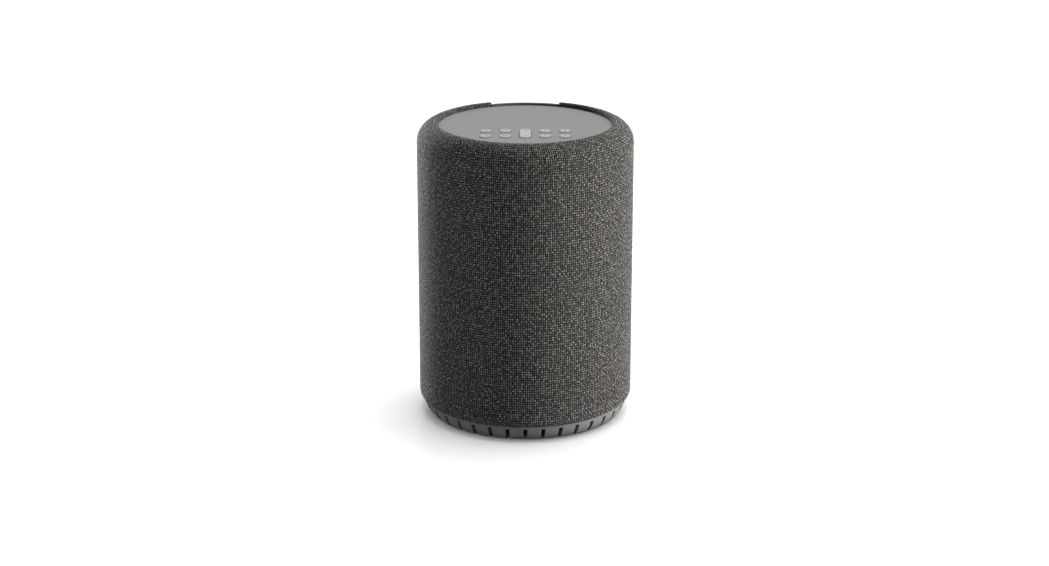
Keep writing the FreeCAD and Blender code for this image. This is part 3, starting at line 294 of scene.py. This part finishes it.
def rubbery(name, colour):
    """Matt rubber with a little dust in its pores."""
    t = Tree(name)
    place = t.place()
    dust = t.noise(place, scale=140.0, detail=4.0, roughness=0.6)
    t.set(Base_Color=t.ramp(dust, shades(colour, low=0.85, high=1.35)),
          Roughness=t.about(dust, middle=0.79, spread=0.14), Specular_IOR_Level=0.3)
    return t.bump(t.noise(place, scale=2400.0, detail=2.0), 0.02 * MM).material


def metal(name, colour, roughness):
    """Metal with fine marks drawn out along one way, and patchy polish."""
    t = Tree(name)
    place = t.place()
    brushed = t.stretched(place, (1.0, 1.0, 30.0))
    marks = t.noise(brushed, scale=700.0, detail=3.0, roughness=0.65)
    patchy = t.noise(place, scale=120.0, detail=2.0)
    t.set(Base_Color=t.ramp(marks, shades(colour, low=0.86, high=1.08)), Metallic=1.0,
          Roughness=t.total(t.about(marks, middle=roughness, spread=0.16),
                            t.about(patchy, middle=0.0, spread=0.08)))
    return t.bump(marks, 0.006 * MM).material


def fibrous(name, colour, fibre_mm=0.5):
    """Pressed paper or treated cloth."""
    t = Tree(name)
    place = t.place()
    flattened = t.stretched(place, (1.0, 0.45, 1.6))
    fibre = t.noise(flattened, scale=1 / (fibre_mm * MM), detail=5.0, roughness=0.7)
    t.set(Base_Color=t.ramp(fibre, shades(colour, low=0.65, high=1.5)),
          Roughness=0.85, Specular_IOR_Level=0.2)
    return t.bump(fibre, 0.05 * MM).material


def circuit(name):
    """Solder mask over tracks, which show as paler lines on a fine grid."""
    t = Tree(name)
    place = t.place()
    tracks = t.nodes.new("ShaderNodeTexBrick")
    t.links.new(place, tracks.inputs["Vector"])
    for socket, value in {
        "Scale": 260.0,
        "Mortar Size": 0.03,
        "Color1": (0.010, 0.075, 0.035, 1.0),
        "Color2": (0.014, 0.095, 0.045, 1.0),
        "Mortar": (0.035, 0.170, 0.080, 1.0),
    }.items():
        tracks.inputs[socket].default_value = value
    cloud = t.noise(place, scale=400.0, detail=3.0)
    t.set(Base_Color=tracks.outputs["Color"], Roughness=t.about(cloud, middle=0.32, spread=0.12),
          Coat_Weight=0.3)
    return t.bump(tracks.outputs["Fac"], 0.03 * MM).material


def smoked_lens(name):
    """Dark translucent plastic, taken as opaque."""
    t = Tree(name)
    haze = t.noise(t.place(), scale=1500.0, detail=2.0)
    t.set(Base_Color=t.ramp(haze, shades((0.02, 0.02, 0.022), low=0.8, high=1.2)),
          Roughness=t.about(haze, middle=0.15, spread=0.1), Coat_Weight=0.5)
    return t.material


def ink(name, colour):
    """Printed mark, slightly worn."""
    t = Tree(name)
    wear = t.noise(t.place(), scale=3000.0, detail=3.0, roughness=0.7)
    t.set(Base_Color=t.ramp(wear, shades(colour, low=0.8, high=1.25)), Roughness=0.55)
    return t.material


def floor_material():
    """Pale sweep with a faint gloss."""
    t = Tree("studio_sweep")
    faint = t.noise(t.place(), scale=2.0, detail=2.0)
    t.set(Base_Color=t.ramp(faint, shades((0.945, 0.945, 0.945), low=0.998, high=1.002)),
          Roughness=t.about(faint, middle=0.24, spread=0.04), Specular_IOR_Level=0.30)
    return t.material


SLOT_MATERIALS = {
    "inner_plastic": moulded("black_moulding", (0.022, 0.022, 0.024), roughness=0.55),
    "spine_plastic": moulded("spine_moulding", (0.036, 0.036, 0.037), roughness=0.55, grain=0.02, gloss=0.28),
    "base_plastic": moulded("ring_moulding", (0.094, 0.093, 0.091), roughness=0.62, grain=0.015, gloss=0.10),
    "rubber": rubbery("black_rubber", (0.022, 0.022, 0.022)),
    "panel_plastic": satin_paint("panel_lacquer", (0.230, 0.230, 0.230), roughness=0.62, flake=0.03),
    "key_plastic": satin_paint("key_lacquer", (0.400, 0.400, 0.400), roughness=0.55, flake=0.05),
    "steel": metal("plated_steel", (0.42, 0.42, 0.43), roughness=0.34),
    "light_guide": smoked_lens("smoked_guide"),
    "silicone": rubbery("grey_silicone", (0.22, 0.22, 0.23)),
    "circuit_board": circuit("solder_mask"),
    "pressed_steel": moulded("black_lacquered_steel", (0.030, 0.030, 0.031), roughness=0.36, grain=0.006),
    "cone_paper": fibrous("cone_fibre", (0.045, 0.045, 0.046)),
    "spider_cloth": fibrous("spider_weave", (0.46, 0.33, 0.14), fibre_mm=0.8),
    "dome_cloth": fibrous("dome_silk", (0.030, 0.030, 0.032), fibre_mm=0.25),
    "ferrite": moulded("sintered_ferrite", (0.055, 0.055, 0.060), roughness=0.66, grain=0.03),
    "radiator_metal": metal("cast_aluminium", (0.48, 0.48, 0.50), roughness=0.42),
    "socket_plastic": moulded("socket_moulding", (0.014, 0.014, 0.015), roughness=0.28, grain=0.004),
    "contact_metal": metal("brass_contact", (0.72, 0.55, 0.25), roughness=0.28),
    "contact_steel": metal("tinned_steel", (0.58, 0.58, 0.58), roughness=0.30),
    "button_plastic": moulded("button_moulding", (0.150, 0.150, 0.158), roughness=0.42),
    "component_body": moulded("epoxy_moulding", (0.035, 0.035, 0.040), roughness=0.44),
    "ribbon": moulded("ribbon_cover", (0.60, 0.60, 0.57), roughness=0.40, grain=0.03, grain_size=1.2),
    "lead_cover": moulded("lead_insulation", (0.30, 0.020, 0.020), roughness=0.36),
}
CLOTH = weave_material()
MARK_INK = ink("key_ink", (0.035, 0.035, 0.036))


# ------------------------------------------------------------------ mesh helpers

def to_object(name, mesh, material):
    piece = bpy.data.objects.new(name, mesh)
    bpy.context.collection.objects.link(piece)
    mesh.materials.append(material)
    return piece


WELD = 0.0001 * MM
FRAME_ANGLE, RING_ANGLE, SHARP_ANGLE = 40, 35, 40  # degrees


def from_bmesh(name, bm, material):
    bmesh.ops.remove_doubles(bm, verts=bm.verts, dist=WELD)
    bmesh.ops.recalc_face_normals(bm, faces=bm.faces)
    mesh = bpy.data.meshes.new(name)
    bm.to_mesh(mesh)
    bm.free()
    return to_object(name, mesh, material)


def round_edges(piece, width, angle):
    """Bevel the edges that are sharper than an angle in degrees."""
    bevel = piece.modifiers.new("edges", "BEVEL")
    bevel.width = width
    bevel.segments = 2
    bevel.limit_method = "ANGLE"
    bevel.angle_limit = math.radians(angle)
    return bevel


def shade_moulding(piece):
    """Smooth shading that keeps a moulding's corners."""
    piece.data.shade_smooth()
    piece.data.set_sharp_from_angle(angle=math.radians(SHARP_ANGLE))


def arc_points(centre, radius, start, end, steps):
    """Points on an arc; the angles are in degrees from the first axis towards the second."""
    angles = np.radians(np.linspace(start, end, steps + 1))
    return [(centre[0] + radius * math.cos(a), centre[1] + radius * math.sin(a)) for a in angles]


def skin_rings(bm, rings):
    """Faces between neighbouring rings of points, closed at both ends by a flat cap."""
    made = [[bm.verts.new(p) for p in ring] for ring in rings]
    for low, high in zip(made, made[1:]):
        for index in range(len(low)):
            after = (index + 1) % len(low)
            bm.faces.new((low[index], low[after], high[after], high[index]))
    bm.faces.new(made[0])
    bm.faces.new(made[-1])


# ------------------------------------------------------------------ the cloth cover

BODY_RAD = SLEEVE_HIGH.x
SHOULDER_RAD = 12.6 * MM
RIM_RAD = 1.0 * MM
HEM_IN = 2.5 * MM        # the hem's curve, inwards
HEM_RISE = 3.8 * MM      # and up
HEM_TUCK = 1.5 * MM      # how far the cloth runs on under the hem
TUCK_DEPTH = 2.6 * MM    # how far it runs down beside the panel
GAP_HALF = 22.0 * MM     # half the opening at the rear
FOLD_RAD = 0.9 * MM
FOLD_TURNS = (30, 60, 90)
HEM_STEPS, SHOULDER_STEPS, RIM_STEPS = 12, 40, 12

WARP_PITCH = 1.40 * MM
WEFT_PITCH = 1.58 * MM
RELIEF = 0.26 * MM
CLOTH_SINK = 0.26 * MM   # keeps the raised crossings inside the sleeve's space
STRAND_THICKNESS = (0.7, 1.25)
GAP_DEPTHS = (0.7, 1.0)
CROSSING_HEIGHTS = (0.55, 1.0)
FOLD_PITCH = 0.4         # threads between the columns of a fold, in the weave map

WANDER = 0.20 * MM
WAVES = 9
WAVE_LENGTHS = (7, 45)   # mm
WAVE_SUM = 4.0           # about as much as the waves add up to
EDGE_CALM = 6            # the last sixth towards each rear edge wanders less
END_CALM = 4 * MM
ANGLE_SEED, RUN_SEED, RELIEF_SEED = 5, 6, 11


def cover_outline():
    """Dense (r, z) points up the cover: under the hem, wall, shoulder, rim roll and tuck."""
    hem_arc = (HEM_IN ** 2 + HEM_RISE ** 2) / (2 * HEM_IN)
    bottom, top = SLEEVE_LOW.z, SLEEVE_HIGH.z
    hem_centre = (BODY_RAD - hem_arc, bottom + HEM_RISE)
    hem_start = -math.degrees(math.asin(HEM_RISE / hem_arc))
    shoulder = (BODY_RAD - SHOULDER_RAD, top - SHOULDER_RAD)
    rim = (shoulder[0], top - RIM_RAD)
    tuck = (rim[0] - RIM_RAD, rim[1] - TUCK_DEPTH)
    hem_edge = BODY_RAD - HEM_IN
    points = [(hem_edge - HEM_TUCK, bottom + CLOTH_SINK)]
    points += arc_points(hem_centre, hem_arc, hem_start, 0, HEM_STEPS)
    points += arc_points(shoulder, SHOULDER_RAD, 0, 90, SHOULDER_STEPS)
    points += arc_points(rim, RIM_RAD, 90, 180, RIM_STEPS)[1:]
    points.append(tuck)
    return np.array(points)


def drift(a, b, rng):
    """A smooth field of about +-1 that makes the yarns wander, by a sum of long waves."""
    total = np.zeros(np.broadcast(a, b).shape)
    for _ in range(WAVES):
        heading, wave = rng.uniform(0, 2 * math.pi), rng.uniform(*WAVE_LENGTHS) * MM
        phase = rng.uniform(0, 2 * math.pi)
        total += np.sin((a * math.cos(heading) + b * math.sin(heading)) * 2 * math.pi / wave + phase)
    return total / WAVE_SUM


class CoverShape:
    """Where a place in the weave, counted in threads, lies on the hub."""

    def __init__(self):
        self.outline = cover_outline()
        steps = np.linalg.norm(np.diff(self.outline, axis=0), axis=1)
        self.run = np.concatenate([[0], np.cumsum(steps)])
        self.length = float(self.run[-1])
        tangent = np.gradient(self.outline, self.run, axis=0)
        tangent /= np.linalg.norm(tangent, axis=1, keepdims=True)
        self.normals = np.stack([tangent[:, 1], -tangent[:, 0]], axis=1)
        self.width = 2 * (math.pi - math.asin(GAP_HALF / BODY_RAD)) * BODY_RAD
        self.warps = round(self.width / WARP_PITCH)
        self.wefts = round(self.length / WEFT_PITCH)

    def at(self, warp, weft, relief):
        """Points at (warp, weft), raised by relief, with their outward normals and sideways tangents."""
        flat = 2 * warp / self.warps - 1
        run = weft / self.wefts * self.length
        radius = np.interp(run, self.run, self.outline[:, 0])
        limit = math.pi - np.arcsin((GAP_HALF + FOLD_RAD) / radius)
        inside = np.minimum(1, EDGE_CALM * (1 - np.abs(flat)))
        ends = np.minimum(1, np.minimum(run, self.length - run) / END_CALM)
        arc = flat * limit * BODY_RAD
        aside, ahead = (drift(arc, run, np.random.default_rng(seed)) for seed in (ANGLE_SEED, RUN_SEED))
        angle = flat * limit + WANDER * aside * inside / radius
        moved = np.clip(run + WANDER * ahead * ends, 0, self.length)
        r, z = (np.interp(moved, self.run, self.outline[:, k]) for k in (0, 1))
        n_r, n_z = (np.interp(moved, self.run, self.normals[:, k]) for k in (0, 1))
        normal = np.stack([n_r * np.sin(angle), -n_r * np.cos(angle), n_z], axis=-1)
        point = np.stack([r * np.sin(angle), -r * np.cos(angle), z], axis=-1)
        side = np.stack([np.cos(angle), np.sin(angle), 0 * angle], axis=-1)
        return point + normal * (relief - CLOTH_SINK)[..., None], normal, side


def fabric_cover():
    """One woven skin round the hub, open at the rear, its edges folded over the shell."""
    rng = np.random.default_rng(RELIEF_SEED)
    shape = CoverShape()
    warps, wefts = shape.warps, shape.wefts
    weft_thick, warp_thick = (rng.uniform(*STRAND_THICKNESS, count) for count in (wefts, warps))
    thick = np.sqrt(weft_thick[:, None] * warp_thick[None, :])
    weft_gap, warp_gap = np.meshgrid(np.arange(wefts + 1.0), np.arange(warps + 1.0), indexing="ij")
    weft_mid, warp_mid = weft_gap[:-1, :-1] + 0.5, warp_gap[:-1, :-1] + 0.5
    depth = RELIEF * rng.uniform(*GAP_DEPTHS, warp_gap.shape)
    rise = RELIEF * rng.uniform(*CROSSING_HEIGHTS, thick.shape) * thick
    gaps, normal, side = shape.at(warp_gap, weft_gap, -depth)
    crossings, _, _ = shape.at(warp_mid, weft_mid, rise)

    def fold(column, way):
        """The columns past one rear edge, turning down into the gap."""
        base, out, along = gaps[:, column], normal[:, column], way * side[:, column]
        steps = [base + along * FOLD_RAD * math.sin(a) - out * FOLD_RAD * (1 - math.cos(a))
                 for a in np.radians(FOLD_TURNS)]
        steps.append(steps[-1] - out * FOLD_RAD)
        return np.stack(steps, axis=1)

    left, right = fold(0, -1)[:, ::-1], fold(-1, 1)
    spare = left.shape[1]
    grid = np.concatenate([left, gaps, right], axis=1)
    total = grid.shape[1]
    beyond = FOLD_PITCH * np.arange(1, spare + 1)
    across = np.concatenate([-beyond[::-1], np.arange(warps + 1.0), warps + beyond])
    index = np.arange(grid.shape[0] * total).reshape(-1, total)
    a, b, c, d = index[:-1, :-1], index[:-1, 1:], index[1:, 1:], index[1:, :-1]
    woven = slice(spare, spare + warps)
    centre = index.size + np.arange(wefts * warps).reshape(wefts, warps)
    faces = []
    for first, second in ((a, b), (b, c), (c, d), (d, a)):
        faces += np.stack([first[:, woven], second[:, woven], centre], axis=-1).reshape(-1, 3).tolist()
    for edge in (slice(0, spare), slice(spare + warps, total - 1)):
        faces += np.stack([p[:, edge] for p in (a, b, c, d)], axis=-1).reshape(-1, 4).tolist()
    edges = np.broadcast_arrays(across[None, :], np.arange(wefts + 1.0)[:, None])
    weave = np.concatenate([np.stack(edges, axis=-1).reshape(-1, 2),
                            np.stack([warp_mid, weft_mid], axis=-1).reshape(-1, 2)])
    mesh = bpy.data.meshes.new("fabric_cover")
    mesh.from_pydata(np.concatenate([grid.reshape(-1, 3), crossings.reshape(-1, 3)]), [], faces)
    corners = np.empty(len(mesh.loops), dtype=np.int32)
    mesh.loops.foreach_get("vertex_index", corners)
    layer = mesh.uv_layers.new(name="weave")
    layer.data.foreach_set("uv", weave[corners].astype(np.float32).ravel())
    mesh.shade_smooth()
    piece = to_object("fabric_cover", mesh, CLOTH)
    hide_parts("fabric_sleeve")
    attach(piece, "root")


# ------------------------------------------------------------------ the foot ring

SLOTS = 36
SLOT_HALF = 1.3 * MM
SLOT_TOP = 8.5 * MM
RING_INNER = 53.0 * MM
RING_FLANGE = 46.0 * MM
RING_FLANGE_LOW = 8.7 * MM
RING_FOOT_RAD = 61.0 * MM
RING_BULGE = 12.0 * MM
RING_EDGE = 0.18 * MM
RING_STEPS = 16
LANDS = 4                # columns of faces between two slots
SLOT_CLEAR = 0.1 * MM


def ring_outer():
    """The ring's bulging outside, from the floor edge to the top edge."""
    start = Vector((RING_FOOT_RAD, RING_LOW.z))
    end = Vector((RING_HIGH.x, RING_HIGH.z))
    chord = end - start
    normal = Vector((-chord.y, chord.x)).normalized()
    centre = (start + end) / 2 + normal * math.sqrt(RING_BULGE ** 2 - chord.length_squared / 4)
    first = math.degrees(math.atan2(start.y - centre.y, start.x - centre.x))
    last = math.degrees(math.atan2(end.y - centre.y, end.x - centre.x))
    return arc_points(centre, RING_BULGE, first, last, RING_STEPS)


def foot_ring():
    """Ring with parallel-sided slots, open below, under a plain band."""
    outer = ring_outer()
    below = [p for p in outer if p[1] < SLOT_TOP - SLOT_CLEAR]
    above = [p for p in outer if p[1] > SLOT_TOP + SLOT_CLEAR]
    share = (SLOT_TOP - below[-1][1]) / (above[0][1] - below[-1][1])
    lintel = (below[-1][0] + share * (above[0][0] - below[-1][0]), SLOT_TOP)
    inner = (RING_INNER, SLOT_TOP)
    upper = [lintel, *above, (RING_FLANGE, RING_HIGH.z), (RING_FLANGE, RING_FLANGE_LOW),
             (RING_INNER, RING_FLANGE_LOW), inner]
    lower = [inner, (RING_INNER, RING_LOW.z), *below, lintel]
    bm = bmesh.new()

    def edge(point, column):
        """A point at the start of a column: column 0 is a slot, the rest are the land after it."""
        pitch = 2 * math.pi / SLOTS
        slot, part = divmod(column, LANDS + 1)
        half = math.asin(SLOT_HALF / point[0])
        turn = slot * pitch + (-half if part == 0 else half + (pitch - 2 * half) * (part - 1) / LANDS)
        return bm.verts.new((point[0] * math.sin(turn), -point[0] * math.cos(turn), point[1]))

    def strip(points, column):
        for here, there in zip(points, points[1:]):
            bm.faces.new((edge(here, column), edge(there, column), edge(there, column + 1),
                          edge(here, column + 1)))

    for column in range(SLOTS * (LANDS + 1)):
        strip(upper, column)
        if column % (LANDS + 1) == 0:
            strip([inner, lintel], column)
            for side in (column, column + 1):
                bm.faces.new([edge(p, side) for p in lower])
        else:
            strip(lower, column)
    piece = from_bmesh("foot_ring", bm, SLOT_MATERIALS["base_plastic"])
    round_edges(piece, RING_EDGE, RING_ANGLE).harden_normals = True
    piece.data.shade_smooth()
    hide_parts("base_ring")
    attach(piece, "root")


# ------------------------------------------------------------------ keys and their marks

KEY_RAD = 3.45 * MM
KEY_EDGE = 0.55 * MM
KEY_DISH = 0.18 * MM
KEY_STEM_RAD = 2.0 * MM
KEY_FLANGE_FROM, KEY_FLANGE_TO = 1.3 * MM, 2.3 * MM          # above the stem's foot
KEY_REACH = KEY_RAD - KEY_EDGE
KEY_FACETS = 72
EDGE_STEPS = 8
DISH_SHARES = (0.8, 0.6, 0.4, 0.2)

ROCKER_HALF_WIDTH = 3.6 * MM
ROCKER_HALF_LENGTH = 11.0 * MM
ROCKER_FLANGE_FROM, ROCKER_FLANGE_TO = -4.6 * MM, -3.8 * MM  # from the rocker's top
ROCKER_REACH = ROCKER_HALF_WIDTH - KEY_EDGE
ROCKER_STRAIGHT = ROCKER_HALF_LENGTH - ROCKER_HALF_WIDTH
END_STEPS = 24

# the last share of a dish, just short of its middle, where the flat cap is
KEY_CENTRE, ROCKER_CENTRE = 0.05, 0.04

MARK_RISE = 0.015 * MM
MARK_WIDTH = 0.52 * MM
MARK_STEP = 0.25 * MM
SIGN_REACH = 1.1         # mm, half a plus or minus sign


def key_surface(distance, reach, top):
    """Height of a dished key at a distance from its middle line."""
    return top - KEY_DISH * max(0.0, 1 - (distance / reach) ** 2)


def round_key(node):
    """Lacquered cap: retaining flange below the panel, rounded edge, dished top."""
    low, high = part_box(node)
    centre, flange = (low + high) / 2, (high.x - low.x) / 2
    flange_low, flange_high = low.z + KEY_FLANGE_FROM, low.z + KEY_FLANGE_TO
    outline = [(KEY_STEM_RAD, low.z), (KEY_STEM_RAD, flange_low), (flange, flange_low),
               (flange, flange_high), (KEY_RAD, flange_high)]
    outline += arc_points((KEY_REACH, high.z - KEY_EDGE), KEY_EDGE, 0, 90, EDGE_STEPS)
    outline += [(KEY_REACH * s, key_surface(KEY_REACH * s, KEY_REACH, high.z))
                for s in (*DISH_SHARES, KEY_CENTRE)]
    turns = [2 * math.pi * k / KEY_FACETS for k in range(KEY_FACETS)]
    bm = bmesh.new()
    skin_rings(bm, [[(centre.x + r * math.cos(a), centre.y + r * math.sin(a), z) for a in turns]
                    for r, z in outline])
    piece = from_bmesh(node + "_cap", bm, SLOT_MATERIALS["key_plastic"])
    shade_moulding(piece)
    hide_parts(node)
    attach(piece, node)
    return Vector((centre.x, centre.y, high.z))


def pill_ring(half_width, centre_y, z):
    """Points round a slot shape whose straight sides are as long as the rocker's."""
    points = []
    for end, start in ((1, 0.0), (-1, math.pi)):
        for k in range(END_STEPS + 1):
            a = math.pi * k / END_STEPS + start
            y = centre_y + end * ROCKER_STRAIGHT + half_width * math.sin(a)
            points.append((half_width * math.cos(a), y, z))
    return points


def volume_key():
    """Long rocker with a rounded edge and a shallow trough along it."""
    centre_y, top = (ROCKER_LOW.y + ROCKER_HIGH.y) / 2, ROCKER_HIGH.z
    flange = (ROCKER_HIGH.x - ROCKER_LOW.x) / 2
    flange_low, flange_high = top + ROCKER_FLANGE_FROM, top + ROCKER_FLANGE_TO
    outline = [(flange, flange_low), (flange, flange_high), (ROCKER_HALF_WIDTH, flange_high)]
    outline += arc_points((ROCKER_REACH, top - KEY_EDGE), KEY_EDGE, 0, 90, EDGE_STEPS)
    outline += [(ROCKER_REACH * s, key_surface(ROCKER_REACH * s, ROCKER_REACH, top))
                for s in (*DISH_SHARES, ROCKER_CENTRE)]
    bm = bmesh.new()
    skin_rings(bm, [pill_ring(half_width, centre_y, z) for half_width, z in outline])
    piece = from_bmesh("volume_key", bm, SLOT_MATERIALS["key_plastic"])
    shade_moulding(piece)
    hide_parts("volume_rocker")
    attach(piece, "volume_rocker")
    return Vector((0, centre_y, top))


def circle_stroke(radius, start=0.0, end=360.0, at=(0.0, 0.0)):
    """An arc with a point about every twelve degrees."""
    return arc_points(at, radius, start, end, int(abs(end - start) / 12))


# each mark's strokes, in millimetres from the middle of its key
MARKS = {
    "key_power": [circle_stroke(1.25, 125, 415), [(0, 0.5), (0, 1.6)]],
    "key_source": [[(-1.5, 0), (0.5, 0)], [(-0.2, 0.7), (0.5, 0), (-0.2, -0.7)],
                   [(0.5, 1.3), (1.5, 1.3), (1.5, -1.3), (0.5, -1.3)]],
    "key_assistant": [circle_stroke(0.22, at=(x, 0)) for x in (-1.2, 0.0, 1.2)],
    "key_play": [[(-1.4, 1.0), (0.0, 0.0), (-1.4, -1.0), (-1.4, 1.0)], [(0.7, 1.0), (0.7, -1.0)],
                 [(1.5, 1.0), (1.5, -1.0)]],
    "key_preset_1": [[(-0.5, 0.7), (0.1, 1.2), (0.1, -1.2)]],
    "key_preset_2": [[*circle_stroke(0.65, 160, -30, (0, 0.55)), (-0.7, -1.2), (0.75, -1.2)]],
    "key_preset_3": [[*circle_stroke(0.6, 150, -90, (0, 0.6))], [*circle_stroke(0.65, 90, -150, (0, -0.6))]],
    "key_preset_4": [[(0.35, -1.2), (0.35, 1.2), (-0.8, -0.4), (0.8, -0.4)]],
}


def draw_marks(name, strokes, centre, body, height_at):
    """Printed strokes, in millimetres, that lie on a key's dished top."""
    bm = bmesh.new()
    for stroke in strokes:
        line = [Vector(p) * MM for p in stroke]
        dense = [line[0]]
        for a, b in zip(line, line[1:]):
            parts = max(1, round((b - a).length / MARK_STEP))
            dense += [a.lerp(b, k / parts) for k in range(1, parts + 1)]
        sides = []
        for k, p in enumerate(dense):
            way = (dense[min(k + 1, len(dense) - 1)] - dense[max(k - 1, 0)]).normalized()
            off = Vector((-way.y, way.x)) * MARK_WIDTH / 2
            sides.append([p + off, p - off])
        made = [[bm.verts.new((centre.x + q.x, centre.y + q.y, height_at(q) + MARK_RISE)) for q in pair]
                for pair in sides]
        for here, there in zip(made, made[1:]):
            bm.faces.new((here[0], here[1], there[1], there[0]))
    mesh = bpy.data.meshes.new(name)
    bm.to_mesh(mesh)
    bm.free()
    piece = to_object(name, mesh, MARK_INK)
    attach(piece, body)


def all_keys():
    """Every key and the marks on it."""
    for node, strokes in MARKS.items():
        top = round_key(node)
        draw_marks(node + "_mark", strokes, top, node,
                   lambda q, top=top: key_surface(q.length, KEY_REACH, top.z))
    top = volume_key()
    end = ROCKER_STRAIGHT / MM
    plus = [[(-SIGN_REACH, end), (SIGN_REACH, end)], [(0, end + SIGN_REACH), (0, end - SIGN_REACH)]]
    minus = [[(-SIGN_REACH, -end), (SIGN_REACH, -end)]]

    def trough_at(q):
        past = max(0.0, abs(q.y) - ROCKER_STRAIGHT)
        return key_surface(math.hypot(q.x, past), ROCKER_REACH, top.z)

    draw_marks("volume_marks", plus + minus, top, "volume_rocker", trough_at)


# ------------------------------------------------------------------ carried-over pieces

# bevel widths in millimetres
EDGE_WIDTHS = {
    "top_cap": 0.20, "rear_spine": 0.35, "connector_tub": 0.30, "mains_inlet": 0.25, "aux_jack": 0.20,
    "service_port": 0.10, "pairing_button": 0.25, "inlet_pins": 0.35, "rubber_feet": 0.12,
}


def dress_frame():
    """Give every CAD piece its slot's material, and round the edges of those that show."""
    slots = {part["node"]: part["material_slot"] for part in frame["record"]["subparts"]}
    for node, piece in frame["nodes"].items():
        if slots[node] in SLOT_MATERIALS:
            for place in piece.material_slots:
                place.material = SLOT_MATERIALS[slots[node]]
        if node in EDGE_WIDTHS:
            round_edges(piece, EDGE_WIDTHS[node] * MM, FRAME_ANGLE)


# ------------------------------------------------------------------ studio

def add_light(kind, name, place, target, energy):
    data = bpy.data.lights.new(name, kind)
    data.energy = energy
    lamp = bpy.data.objects.new(name, data)
    bpy.context.collection.objects.link(lamp)
    lamp.location = place
    lamp.rotation_euler = (Vector(target) - Vector(place)).to_track_quat("-Z", "Y").to_euler()
    return lamp


def sun(name, place, strength, spread):
    """Broad light from above, spread over an angle in degrees."""
    lamp = add_light("SUN", name, place, (0, 0, 0), strength)
    lamp.data.angle = math.radians(spread)
    return lamp


def softbox(name, place, size, power, spare):
    """A large rectangular light that leaves the objects in spare unlit."""
    lamp = add_light("AREA", name, place, HUB_MIDDLE, power)
    lamp.data.shape = "RECTANGLE"
    lamp.data.size, lamp.data.size_y = size
    unlit = bpy.data.collections.new(name + "_spares")
    for piece in spare:
        unlit.objects.link(piece)
    for entry in unlit.collection_objects:
        entry.light_linking.link_state = "EXCLUDE"
    lamp.light_linking.receiver_collection = unlit


def sky(low, high):
    """A white dome, brighter overhead than at the horizon."""
    world = bpy.data.worlds.new("studio")
    bpy.context.scene.world = world
    world.use_nodes = True
    nodes, links = world.node_tree.nodes, world.node_tree.links
    place, split = nodes.new("ShaderNodeTexCoord"), nodes.new("ShaderNodeSeparateXYZ")
    strength = nodes.new("ShaderNodeMapRange")
    links.new(place.outputs["Generated"], split.inputs[0])
    links.new(split.outputs[2], strength.inputs["Value"])
    strength.inputs["To Min"].default_value = low
    strength.inputs["To Max"].default_value = high
    background = nodes["Background"]
    background.inputs["Color"].default_value = (1, 1, 1, 1)
    links.new(strength.outputs[0], background.inputs["Strength"])


HUB_MIDDLE = (0, 0, 0.10)
FLOOR_SIZE = 40          # metres
SKY_LOW, SKY_HIGH = 0.38, 1.14

# suns: place, strength and angular size in degrees
OVERHEAD = ((0.5, 0.35, 1.2), 1.38, 70)
FLOOR_WASH = ((0.3, 0.2, 1.2), 1.20, 60)

# softboxes: place, size in metres and power in watts
RIGHT_SOFTBOX = ((1.25, -0.15, 0.40), (0.45, 0.9), 61.0)
LEFT_SOFTBOX = ((-0.72, 0.95, 0.20), (0.35, 0.8), 66.0)


def studio():
    """Pale sweep under a soft dome. The softboxes spare what faces up, and the left one the foot ring."""
    bpy.ops.mesh.primitive_plane_add(size=FLOOR_SIZE)
    floor = bpy.context.object
    floor.name = "floor"
    floor.data.materials.append(floor_material())
    level = [floor, frame["nodes"]["top_cap"], bpy.data.objects["volume_key"]]
    level += [bpy.data.objects[node + "_cap"] for node in MARKS]
    sky(SKY_LOW, SKY_HIGH)
    sun("overhead", *OVERHEAD)
    lit = bpy.data.collections.new("kept_lit")
    lit.objects.link(floor)
    sun("floor_wash", *FLOOR_WASH).light_linking.receiver_collection = lit
    softbox("key_right", *RIGHT_SOFTBOX, level)
    softbox("rim_left", *LEFT_SOFTBOX, [*level, bpy.data.objects["foot_ring"]])
    bpy.context.scene.view_settings.view_transform = "Standard"


CAMERA_PLACE = (-0.0005, -1.400, 0.533)
CAMERA_TILT = 17.77      # degrees below level
CAMERA_LENS = 78.0
SENSOR_WIDTH = 36.0


def camera():
    """A long lens in front of the hub, tilted down."""
    data = bpy.data.cameras.new("camera")
    data.lens = CAMERA_LENS
    data.sensor_width = SENSOR_WIDTH
    piece = bpy.data.objects.new("camera", data)
    bpy.context.collection.objects.link(piece)
    piece.location = CAMERA_PLACE
    piece.rotation_euler = (math.radians(90 - CAMERA_TILT), 0, 0)
    bpy.context.scene.camera = piece


camera()
fabric_cover()
foot_ring()
all_keys()
dress_frame()
studio()
